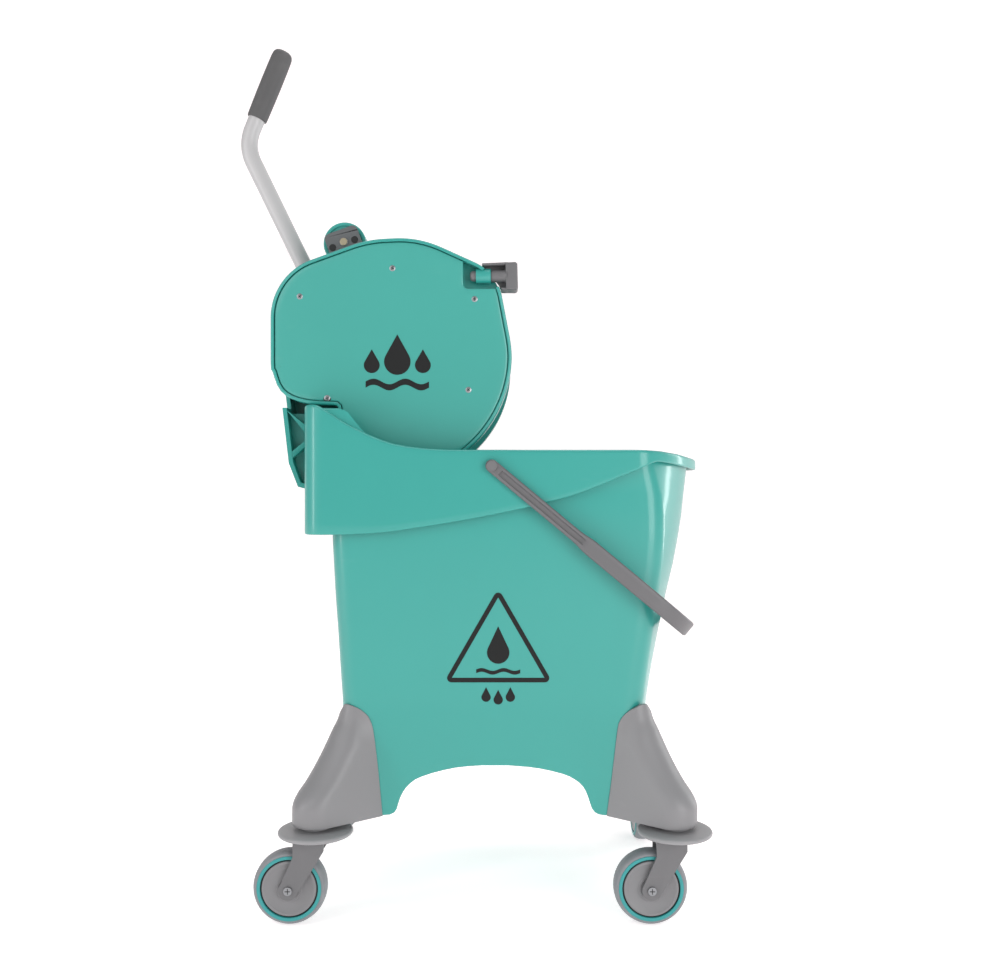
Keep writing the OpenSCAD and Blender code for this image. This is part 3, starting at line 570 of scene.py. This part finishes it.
def leg_cover(name, way, side):
    bm = bmesh.new()
    rings = []
    table = EDGE_REAR if way < 0 else EDGE_FRONT
    for i, z in enumerate(LEVELS):
        flare = along(z, FLARE)
        wall_v = along(z, HALF_TABLE)
        wall_u = 136.6 if way < 0 else 205.4 + 0.02 * (z - 108)
        nose_u = wall_u + flare * (0.975 if way < 0 else 0.985)
        a = (along(z, table), wall_v + 1.3)
        depth = 40 if way < 0 else 46
        inner_v = min(wall_v - 1, wall_v - depth * (1 - max(0, (z - NARROWS_Z) / 46)) + 2)
        b = (wall_u + (1.2 if way < 0 else 1.0), inner_v)
        radius = 25 - max(0, z - NARROWS_Z) * 0.22
        trim = 0.9 if i == 0 else 0.25 if i == 1 else 0
        section = side_points((nose_u - trim, wall_v + flare - trim), min(radius, flare + 20), a, b)
        rings.append([(way * p.x, side * p.y, z) for p in section])
    loft(bm, rings, low_cap=True, high_cap=True)
    piece("leg_cover_shell_" + name, bm, "leg", "bucket", ("leg_cover_" + name,), crease=46)


def arc(radius, x, y, start, end, steps):
    return [(x + radius * math.cos(math.radians(start + (end - start) * k / steps)),
             y + radius * math.sin(math.radians(start + (end - start) * k / steps))) for k in range(steps + 1)]


def bumper(name, x, y):
    bm = bmesh.new()
    top = [(34, 102.2), (26, 103), (16, 103.4), (14.6, 106), (5.6, 106), (5.6, 96.8)]
    turned(bm, [(5.6, 96.8), (36, 96.6)] + arc(2.5, 38.1, 99.1, -90, 75, 8) + top, (x, y, 0), "Z")
    # Its finish is lightened against the shade under the legs: painted light.
    piece("bumper_disc_" + name, bm, "disc", "bucket", ("bumper_" + name,), crease=40)


def wheel(name, at, axis):
    body = "wheel_" + name
    bm = bmesh.new()
    tread = [(36 + 4 * math.sin(math.radians(t)), 1.5 + 9.5 * math.cos(math.radians(t)))
             for t in range(0, 91, 9)]
    turned(bm, [(35, -11)] + [(r, -h) for r, h in tread] + tread[::-1] + [(35, 11), (35, -11)], at, axis, 128)
    piece("tyre_tread_" + name, bm, "tyre", body, ("tyre_" + name,), crease=50)
    bm = bmesh.new()
    ring = [(31.4, -6), (31.4, -11.3)] + arc(0.4, 31.8, -11.3, 180, 270, 3) + arc(0.6, 34.4, -11.3, -90, 0, 3)
    ring += arc(0.6, 34.4, 11.3, 0, 90, 3) + arc(0.4, 31.8, 11.3, 90, 180, 3) + [(31.4, 6), (31.4, -6)]
    turned(bm, ring, at, axis, 128)
    piece("teal_ring_" + name, bm, "ring", body, ("wheel_ring_" + name,), crease=50)
    bm = bmesh.new()
    half = [(4.15, 10.9), (11, 10.9), (11.4, 11.3), (13.4, 11.3), (13.9, 10.7), (25.6, 10.7), (26.2, 11.1),
            (27.4, 11.5), (28.6, 11.5), (29.4, 11.1), (29.7, 10.4), (29.7, 7)]
    turned(bm, half + [(r, -h) for r, h in half[::-1]] + [half[0]], at, axis, 128)
    piece("hub_disc_" + name, bm, "hub", body, ("hub_" + name,), crease=40)
    # Black ring at the bottom of the gap between hub and teal ring: painted shade of the gap.
    bm = bmesh.new()
    turned(bm, [(29.3, -8.5), (31.7, -8.5), (31.7, 8.5), (29.3, 8.5), (29.3, -8.5)], at, axis, 96)
    piece("wheel_gap_shade_" + name, bm, "black", body, ())


def axle_bolt(name, at, axis, side):
    """The wheel's axle. Where its head faces sideways it has a cross recess, drawn as a cross of painted shade.
    """
    softened("axle_" + name, "steel", "swivel_" + name, 0.35)
    if axis == "Y":
        bm = bmesh.new()
        # The cross is painted shade of the bolt's recess.
        cross_recess_shade(bm, at, side, 19.32, 3.0, 0.85)
        piece("bolt_recess_shade_" + name, bm, "black", "swivel_" + name, ())


def cross_recess_shade(bm, at, side, out, half, wide):
    """A dark cross on a screw head that faces sideways, out from the point on its axis: painted shade standing
    in for the recess.
    """
    for long_, short in ((half, wide / 2), (wide / 2, half)):
        made = bmesh.ops.create_cube(bm, size=2)["verts"]
        bmesh.ops.scale(bm, vec=(long_, 0.06, short), verts=made)
        bmesh.ops.translate(bm, vec=(at[0], at[1] + side * out, at[2]), verts=made)


for name, way, side in CORNERS:
    low, high = (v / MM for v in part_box("bumper_" + name))
    x, y = (low.x + high.x) / 2, (low.y + high.y) / 2
    leg_cover(name, way, side)
    bumper(name, x, y)
    low, high = (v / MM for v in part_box("tyre_" + name))
    centre = (low + high) / 2
    axis = "Y" if high.y - low.y < high.x - low.x else "X"      # a caster turned inwards has its axle along X
    wheel(name, centre, axis)
    softened("fork_" + name, "fork", "swivel_" + name, 1.1)
    axle_bolt(name, centre, axis, side)
softened("caster_stems", "steel", "bucket", 0.4)


# ---- Bail handle ----
BAIL_X, BAIL_Z, BAIL_DROP = 31.6, 497, 39.7      # its pivots, and how far it hangs below level, in degrees
BAIL_Y, BAIL_ARM, BAIL_BEND = 148.6, 230.5, 59   # its arms' distance from the middle, their length, their bend
BAIL_REACH = BAIL_ARM + BAIL_BEND                # from the pivots to the middle of the cross grip
EYE_R = 7                                        # round end at each pivot


def bail():
    """A flat bow with a groove along the outer face of each arm, drawn level and then turned to where it hangs.

    A station is (distance from the pivots, y, way out in degrees, height, depth of the groove).
    """
    bm = bmesh.new()
    stations = []
    for k in range(9):
        s = -EYE_R * math.cos(math.pi / 2 * k / 8)
        stations.append((s, BAIL_Y, 90, 2 * math.sqrt(max(0.4, EYE_R ** 2 - s * s)), 0))
    for s, h, g in ((9, 14, 0), (11.4, 14, 0), (13, 14, 2.4), (40, 14, 2.4), (70, 14, 2.4), (100, 14, 2.4),
                    (118, 14.2, 2.4), (126, 15, 2.4), (129.5, 15.8, 2.2), (131.5, 16.4, 0), (136, 17.4, 0),
                    (142, 18, 0), (170, 18, 0), (205, 18, 0), (BAIL_ARM - 1, 18, 0)):
        stations.append((s, BAIL_Y, 90, h, g))
    for k in range(1, 19):
        a = 90 - 90 * k / 18
        stations.append((BAIL_ARM + BAIL_BEND * math.cos(math.radians(a)),
                         BAIL_Y - BAIL_BEND + BAIL_BEND * math.sin(math.radians(a)), a, 18, 0))
    stations += [(BAIL_REACH, y, 0, 18, 0) for y in (60, 30)]
    stations += [(s, -y, -a, h, g) for s, y, a, h, g in [(BAIL_REACH, 0, 0, 18, 0)] + stations[::-1]]
    frame_ = Matrix.Translation((BAIL_X, 0, BAIL_Z)) @ Matrix.Rotation(math.radians(BAIL_DROP), 4, "Y")
    rings = []
    for s, y, a, h, g in stations:
        out = Vector((math.cos(math.radians(a)), math.sin(math.radians(a)), 0))
        e = h / 2
        r = min(2.2, e * 0.4)
        lip = min(3.2, e * 0.5)
        across = [(-3, -e + r), (-3, e - r), (-3 + 0.3 * r, e - 0.3 * r), (-3 + r, e), (3 - r, e),
                  (3 - 0.3 * r, e - 0.3 * r), (3, e - r), (3, lip + 0.5), (3 - min(0.4, g), lip),
                  (3 - g, lip - 0.4), (3 - g, -lip + 0.4), (3 - min(0.4, g), -lip), (3, -lip - 0.5),
                  (3, -e + r), (3 - 0.3 * r, -e + 0.3 * r), (3 - r, -e), (-3 + r, -e),
                  (-3 + 0.3 * r, -e + 0.3 * r)]
        rings.append([frame_ @ (Vector((s, y, 0)) + out * n + Vector((0, 0, v))) for n, v in across])
    loft(bm, rings, low_cap=True, high_cap=True)
    piece("bail_bow", bm, "bail", "bail", ("bail_handle",), crease=50)


bail()
softened("bail_pivots", "fork", "bucket", 0.6)

# ---- Wringer casings ----
CASE = (-83, 619, 137)                           # x, z and radius of its big round
LATCH_Y, LATCH_Z = 95.5, 714.4                   # axis of the latch's pin
POCKET_X, POCKET_Z = -1.4, 699                   # the latch's pocket is right of and above these
COVER_FACE = 103.4                               # the covers' outer face, from the middle
SCREW_Y = 103.1                                  # where the screw heads sit
SCREWS = [(-81.6, 722), (-186.8, 690), (11.7, 687), (4.7, 584), (-155.6, 574.7)]


def hull_outline(circles):
    """The tight outline round some circles of (x, z, radius)."""
    pts = sorted({(round(x + r * math.cos(math.tau * k / 180), 4),
                   round(z + r * math.sin(math.tau * k / 180), 4)) for x, z, r in circles for k in range(180)})

    def chain(row):
        out = []
        for p in row:
            while len(out) > 1 and ((out[-1][0] - out[-2][0]) * (p[1] - out[-2][1])
                                    <= (out[-1][1] - out[-2][1]) * (p[0] - out[-2][0])):
                out.pop()
            out.append(p)
        return out[:-1]

    return [Vector(p) for p in chain(pts) + chain(pts[::-1])]


def bitten(points, inside, path):
    """The closed outline with its run of points that lie inside the bite replaced by a path."""
    start = next(i for i in range(len(points)) if inside(points[i]) and not inside(points[i - 1]))
    turned_ = points[start:] + points[:start]
    stop = next(i for i in range(len(turned_)) if not inside(turned_[i]))
    return turned_[stop:] + [Vector(p) for p in path]


def casing_outline():
    """A rounded body whose lower back corner is cut out over the bucket's rear wall."""
    x, z, r = CASE
    rounds = [(x, z, r), (x + 9, z + 21, r - 20.5), (x - 67, z + 47, 70), (x + 72, z + 60, 55)]
    pts = resampled(hull_outline(rounds), 2.5)
    low = [(-217.5, 604), (-216, 598.5), (-213, 590), (-208.4, 582.6), (-203, 577.6), (-196, 573.6),
           (-188, 570.8), (-178, 568.6), (-165, 567.3), (-150, 566.8), (-145.6, 566.4), (-143.6, 564.6),
           (-143, 561), (-143, 545), (-143, 530), (-142.6, 522), (-140.8, 513.4), (-137, 505), (-131, 497),
           (-124.6, 490.6)]
    out = bitten(pts, lambda p: p.x < -120 and p.y < 605, low)
    for p in out:
        if p.x > x and p.y < z:
            # The front is a little flatter below its widest point
            away = Vector((p.x - x, p.y - z))
            p -= away.normalized() * 2.6 * abs(math.sin(2 * math.atan2(away.y, away.x)))
    return out


OUTLINE = casing_outline()


def latch_bite(points, x, z, radius):
    """The outline without the corner where the latch runs: right of x and above z."""
    right = max((p for p in points if p.y < z and p.x > x), key=lambda p: p.y)
    top = max((p for p in points if p.x < x), key=lambda p: p.x if p.y > z else -1e9)
    corner = [(x + radius - radius * math.sin(math.radians(a)), z + radius - radius * math.cos(math.radians(a)))
              for a in range(0, 91, 15)]
    path = [(right.x, z)] + corner + [(x, top.y)]
    return bitten(points, lambda p: p.x >= x and p.y >= z, path)


def casing(side, name):
    """One gear casing and its cover. Only the right-hand one has the latch's pocket and sleeve."""
    bm = bmesh.new()
    pocket = side < 0
    slab(bm, OUTLINE, side * 72, side * 88, 0.3)
    inner = inset(OUTLINE, 3.8)
    slab(bm, latch_bite(inner, POCKET_X, POCKET_Z, 6) if pocket else inner, side * 87.8, side * 98, 0.2)
    # The raised rim round the cover, open where the latch passes
    n = len(OUTLINE)
    middle = inset(OUTLINE, 0.5)
    gone = [pocket and p.x > -3 and 703 < p.y < 722 for p in OUTLINE]
    first = next(i for i in range(n) if gone[i - 1] and not gone[i]) if pocket else 0
    order = [(first + k) % n for k in range(n) if not gone[(first + k) % n]] + ([] if pocket else [first])
    crown, lip = inset(OUTLINE, 1.4), inset(OUTLINE, 3.4)
    rings = []
    for i in order:
        o, m, c, l, inn = OUTLINE[i], middle[i], crown[i], lip[i], inner[i]
        rings.append([(p.x, side * y, p.y) for p, y in (
            (o, 87), (o, 102.4), (m, 103.4), (c, 104), (l, 104), (inn, 103.6), (inn, 96), (l, 87))])
    loft(bm, rings, low_cap=pocket, high_cap=pocket)
    if pocket:
        sleeve = [(6.1, 13), (7.6, 13)] + arc(0.8, 7.6, 13.8, -90, 0, 3) + arc(0.8, 7.6, 29.2, 0, 90, 3)
        turned(bm, sleeve + [(6.1, 30), (6.1, 13)], (0, side * LATCH_Y, LATCH_Z), "X", 64)
    piece("gear_casing_" + name, bm, "teal", "wringer", ("cheek_" + name,), crease=42)
    bm = bmesh.new()
    cover = inset(OUTLINE, 4.7)
    if pocket:
        cover = latch_bite(cover, POCKET_X, POCKET_Z, 6)
    steps = [(0, 98.2), (0, 101.8), (0.2, 102.3), (0.7, 102.65), (1.8, 102.92), (3.6, 103.14), (5.8, 103.3),
             (8, COVER_FACE)]
    loft(bm, [[(p.x, side * y, p.y) for p in inset(cover, d)] for d, y in steps], low_cap=True, high_cap=True)
    piece("gear_cover_" + name, bm, "cover", "wringer", ("cover_" + name,), crease=42)


for name, side in (("right", -1), ("left", 1)):
    casing(side, name)


def cover_screws():
    heads, shade_rings, slot_shades = bmesh.new(), bmesh.new(), bmesh.new()
    for side in (-1, 1):
        for i, (x, z) in enumerate(SCREWS):
            at = (x, side * SCREW_Y, z)
            # A dark teal ring under each head: painted shade round the screw.
            turned(shade_rings, [(0, 0), (4.5, 0), (4.5, 0.4), (0, 0.4)], at, "Y", 32)
            dome = [(0, 0.9), (1.6, 0.85), (2.8, 0.62), (3.4, 0.3), (3.5, 0)]
            turned(heads, [(r, side * h) for r, h in dome], at, "Y", 32)
            made = len(slot_shades.verts)
            # Painted shade of each head's cross recess.
            cross_recess_shade(slot_shades, (x, 0, z), side, SCREW_Y + 0.86, 2.0, 0.7)
            slot_shades.verts.ensure_lookup_table()
            turn = Matrix.Rotation(math.radians(20 + 37 * i), 3, "Y")
            bmesh.ops.rotate(slot_shades, cent=(x, 0, z), matrix=turn, verts=slot_shades.verts[made:])
    piece("cover_screw_heads", heads, "steel", "wringer", ("cover_screws",))
    piece("cover_screw_shade_rings", shade_rings, "painted_shade_teal", "wringer", ())
    piece("cover_screw_slot_shades", slot_shades, "black", "wringer", ())


cover_screws()


# ---- Lever ----
LEVER = Vector((-150, 641))                      # x and z of its shaft
LEAN, BEND = math.radians(26), math.radians(48.2)
BEND_R, STRAIGHT = 50, 258                       # radius of the bend, and the straight length below it
UP, OVER = Vector((-math.sin(LEAN), math.cos(LEAN))), Vector((math.cos(LEAN), math.sin(LEAN)))
PAST = UP * math.cos(BEND) + OVER * math.sin(BEND)
BEND_END = LEVER + UP * STRAIGHT + OVER * BEND_R + BEND_R * (-OVER * math.cos(BEND) + UP * math.sin(BEND))


def tube(bm, path, radius, sides=40):
    """A round bar along points in the middle plane."""
    rings = []
    for i, p in enumerate(path):
        t = (path[min(i + 1, len(path) - 1)] - path[max(i - 1, 0)]).normalized()
        n = Vector((t.y, -t.x))
        r = radius[i] if isinstance(radius, list) else radius
        rings.append([(p.x + n.x * r * math.cos(a), r * math.sin(a), p.y + n.y * r * math.cos(a))
                      for a in (math.tau * k / sides for k in range(sides))])
    loft(bm, rings, low_cap=True, high_cap=True)


def lever():
    bm = bmesh.new()
    path = [LEVER + UP * s for s in (12, 60, 120, 180, 230, STRAIGHT - 2)]
    for k in range(25):
        a = BEND * k / 24
        path.append(LEVER + UP * STRAIGHT + OVER * BEND_R + BEND_R * (-OVER * math.cos(a) + UP * math.sin(a)))
    path += [BEND_END + PAST * s for s in (2, 30, 60, 89)]
    tube(bm, path, 10.15, 56)
    piece("lever_pipe", bm, "tube", "lever", ("lever_tube",), crease=60)
    bm = bmesh.new()
    along_grip = [(0, 10.3), (0, 11.2), (0.3, 11.7), (1, 12.05), (2.4, 12.3), (8, 12.45), (30, 12.8),
                  (50, 12.9), (70, 12.75), (80, 12.5), (83.5, 12.1), (86, 11.3), (87.8, 10), (88.9, 8.2),
                  (89.4, 6), (89.4, 2)]
    tube(bm, [BEND_END + PAST * (13.7 + s) for s, r in along_grip], [r for s, r in along_grip], 64)
    piece("grip_sleeve", bm, "grip", "lever", ("lever_grip",), crease=60)


lever()


def springs():
    bm = bmesh.new()
    turns, steps, wire = 9, 26, 1.6
    for side in (-1, 1):
        rings = []
        for k in range(turns * steps + 1):
            a = math.tau * k / steps
            y = side * (25.7 + 36.6 * k / (turns * steps))
            out = Vector((math.cos(a), 0, math.sin(a)))
            centre = Vector((LEVER.x, y, LEVER.y)) + out * 10.75
            rings.append([centre + out * wire * math.cos(b) + Vector((0, wire * math.sin(b), 0))
                          for b in (math.tau * j / 10 for j in range(10))])
        loft(bm, rings, low_cap=True, high_cap=True)
    piece("spring_coils", bm, "steel", "wringer", ("return_springs",), crease=60)


springs()
ROLLER_X, ROLLER_Z = -141.5, 759


def roller():
    bm = bmesh.new()
    half = [(5.2, 58), (9, 58), (9, 62.4), (20.6, 62.4), (21, 63.8), (23.4, 64)]
    half += arc(1.5, 23.5, 62.5, 90, 0, 4) + [(25, 40), (25, 14)]
    turned(bm, half + [(r, -h) for r, h in half[::-1]] + [half[0]], (ROLLER_X, 0, ROLLER_Z))
    piece("mop_roller", bm, "teal", "roller", ("guide_roller",), crease=40)


roller()


def latch():
    """Finger block with a hollow web behind it, on a round pin that slides in the casing's sleeve."""
    bm = bmesh.new()
    pin = [(0, 6.2), (2.6, 6.3), (4.6, 7), (5.6, 8.2), (6, 10), (6, 30), (6.6, 30.4), (6.8, 31.2), (6.8, 44),
           (7.4, 46.5), (9.4, 48.5), (0, 48.5)]
    turned(bm, pin, (0, -LATCH_Y, LATCH_Z), "X", 48)
    web = [(19, 727.9), (57.5, 729.4), (60.2, 727), (61, 699.6), (59, 697.6), (42.5, 697.8), (39.4, 706),
           (30.5, 717.4), (22, 725.2)]
    slab(bm, rounded(web, [0.8, 2, 2, 2, 2, 1, 3, 3, 0.6], 4), -80.4, -89, 0.8)
    slab(bm, rounded([(19.4, 728), (50, 729.3), (50, 726.6), (21.4, 725.5)], 0.5, 3), -80.2, -102.4, 0.6)
    slab(bm, rounded([(42.4, 697.7), (50, 697.6), (50, 700.2), (41.4, 700.3)], 0.5, 3), -80.2, -102.4, 0.6)
    block = [(46.6, 728.8), (58.2, 729.4), (60.3, 727.4), (61, 699.8), (59, 697.5), (47.4, 697.8)]
    slab(bm, rounded(block, [2.2, 2.4, 2, 2.4, 2.4, 2.2], 5), -80.2, -104, 1.6)
    piece("latch_block", bm, "latch", "latch", ("latch_bar",), crease=44)


latch()

# Nodes that are copied, each with its finish, body, slot and the width of its broken edges
for node, finish, body, slot, soft in (
        ("hook_bracket", "teal", "wringer", "teal", 0.7), ("front_grille", "teal", "wringer", "teal", 0.8),
        ("tie_rods", "steel", "wringer", "steel", 0.4), ("lever_bushes", "black", "wringer", "black", 0.3),
        ("jaw_bushes", "black", "wringer", "black", 0.3),
        ("roller_bracket_right", "bracket", "wringer", "fork_grey", 0.6),
        ("roller_bracket_left", "bracket", "wringer", "fork_grey", 0.6),
        ("bracket_plugs", "black", "wringer", "black", 0.3),
        ("bracket_screws", "brass", "wringer", "steel", 0.4), ("roller_axle", "steel", "wringer", "steel", 0.3),
        ("lever_shaft", "steel", "lever", "steel", 0.4),
        ("pinions", "steel", "lever", "steel", 0.2), ("lever_hub", "fork", "lever", "fork_grey", 0.8),
        ("hub_bolt", "steel", "lever", "steel", 0.4), ("press_jaw", "teal", "jaw", "teal", 0.9),
        ("jaw_shaft", "steel", "jaw", "steel", 0.4), ("sector_gears", "steel", "jaw", "steel", 0.2)):
    softened(node, finish, body, soft)


# ---- Printed marks: plain drops and waves ----
UNDER, OVER_WALL = -0.3, 0.16    # the ink's inner and outer side, from the wall's face


def drop(x, z, radius, height, steps=28):
    """A water drop: round below, pointed above."""
    pts = []
    top = Vector((x, z + height - radius))
    reach = height - radius
    touch = math.acos(radius / reach)
    for k in range(steps + 1):
        a = math.pi / 2 - touch - (math.tau - 2 * touch) * k / steps
        pts.append(Vector((x + radius * math.cos(a), z + radius * math.sin(a))))
    return anticlockwise(pts + [top])


def wave(x0, x1, z, tall, thick, crests=2, steps=36):
    """A wavy line from x0 to x1."""
    up = [Vector((x0 + (x1 - x0) * k / steps, z + tall * math.sin(math.tau * crests * k / steps)))
          for k in range(steps + 1)]
    half = Vector((0, thick / 2))
    return anticlockwise([p + half for p in up] + [p - half for p in up[::-1]])


def wall_y(z):
    """Distance from the middle to the bucket's long wall."""
    return along(z, HALF_TABLE)


def printed(name, body, shapes, bands, side, face):
    """Inked shapes, and bands of (outline, width), that lie just on a wall face(z) away from the middle."""
    bm = bmesh.new()
    for shape in shapes:
        rings = [[(p.x, side * (face(p.y) + d), p.y) for p in shape] for d in (UNDER, OVER_WALL)]
        loft(bm, rings, low_cap=True, high_cap=True)
    for outline, width in bands:
        outline = anticlockwise([Vector(p) for p in outline])
        inner = inset(outline, width)
        loft(bm, [[(p.x, side * (face(p.y) + d), p.y) for p in row]
                  for row, d in ((outline, UNDER), (outline, OVER_WALL), (inner, OVER_WALL), (inner, UNDER),
                                 (outline, UNDER))])
    piece(name, bm, "print", body, (), crease=30)


for side, name in ((-1, "right"), (1, "left")):
    triangle = rounded([(38.5, 362), (-22, 256.6), (99, 256.6)], 5.0, 6)
    printed("bucket_print_" + name, "bucket",
            [drop(38.5, 290, 12.5, 42), wave(14, 63, 269, 1.6, 4.2), drop(25, 240, 5.2, 16.5),
             drop(38.5, 237, 5.2, 16.5), drop(52, 240, 5.2, 16.5)], [(triangle, 5.2)], side, wall_y)
    printed("casing_print_" + name, "wringer",
            [drop(-76, 616, 15, 46), drop(-105, 612, 9, 27), drop(-47, 612, 9, 27),
             wave(-112, -40, 590, 3.2, 7)], [], side, lambda z: COVER_FACE)


# ---- Camera, floor and light ----
camera = bpy.data.objects.new("camera", bpy.data.cameras.new("camera"))
bpy.context.scene.collection.objects.link(camera)
camera.data.lens, camera.data.sensor_width = 38.0, 36
camera.data.clip_start, camera.data.clip_end = 0.05, 50
camera.location, camera.rotation_euler = (0.0405, -1.301, 0.480), (math.pi / 2, 0, 0)
bpy.context.scene.camera = camera

floor_finish = Finish("white studio floor")
floor_finish.set(Base_Color=(0.94, 0.865, 0.872, 1), Roughness=0.9,
                 Emission_Color=(1, 1, 1, 1), Emission_Strength=0.5)
sweep = bmesh.new()
rise = [(-6, -0.0005), (6, -0.0005), (9, 0.6), (10, 3), (10, 9)]
loft(sweep, [[(x, y, z) for y, z in rise] for x in (-12, 12)], closed=False)
floor_mesh = bpy.data.meshes.new("floor")
sweep.to_mesh(floor_mesh)
floor = bpy.data.objects.new("floor", floor_mesh)
floor_mesh.materials.append(floor_finish.material)
bpy.context.scene.collection.objects.link(floor)

world = bpy.data.worlds.new("studio")
world.use_nodes = True
world.node_tree.nodes["Background"].inputs["Color"].default_value = (1, 1, 1, 1)
world.node_tree.nodes["Background"].inputs["Strength"].default_value = 0.46
bpy.context.scene.world = world


def softbox(name, place, aim, size, power):
    """A rectangular lamp at a place, turned to its aim."""
    lamp = bpy.data.lights.new(name, "AREA")
    lamp.shape, lamp.size, lamp.size_y, lamp.energy = "RECTANGLE", size[0], size[1], power
    obj = bpy.data.objects.new(name, lamp)
    bpy.context.scene.collection.objects.link(obj)
    obj.location = place
    obj.rotation_euler = (Vector(aim) - Vector(place)).to_track_quat("-Z", "Y").to_euler()


softbox("front left key", (-1.9, -2.6, 2.1), (0, 0, 0.45), (1.8, 1.8), 19)
softbox("right panel", (1.55, -2.05, 0.78), (0.2, -0.1, 0.45), (1.25, 1.5), 26)
softbox("left strip", (-2.2, -1.1, 0.8), (-0.1, 0, 0.5), (0.3, 1.5), 13)
softbox("back right strip", (2.2, 0.9, 0.8), (0.2, 0, 0.45), (0.25, 1.5), 13)
softbox("overhead", (0.1, 0.2, 2.6), (0, 0, 0.5), (1.6, 1.2), 19)
bpy.context.scene.view_settings.view_transform = "Standard"
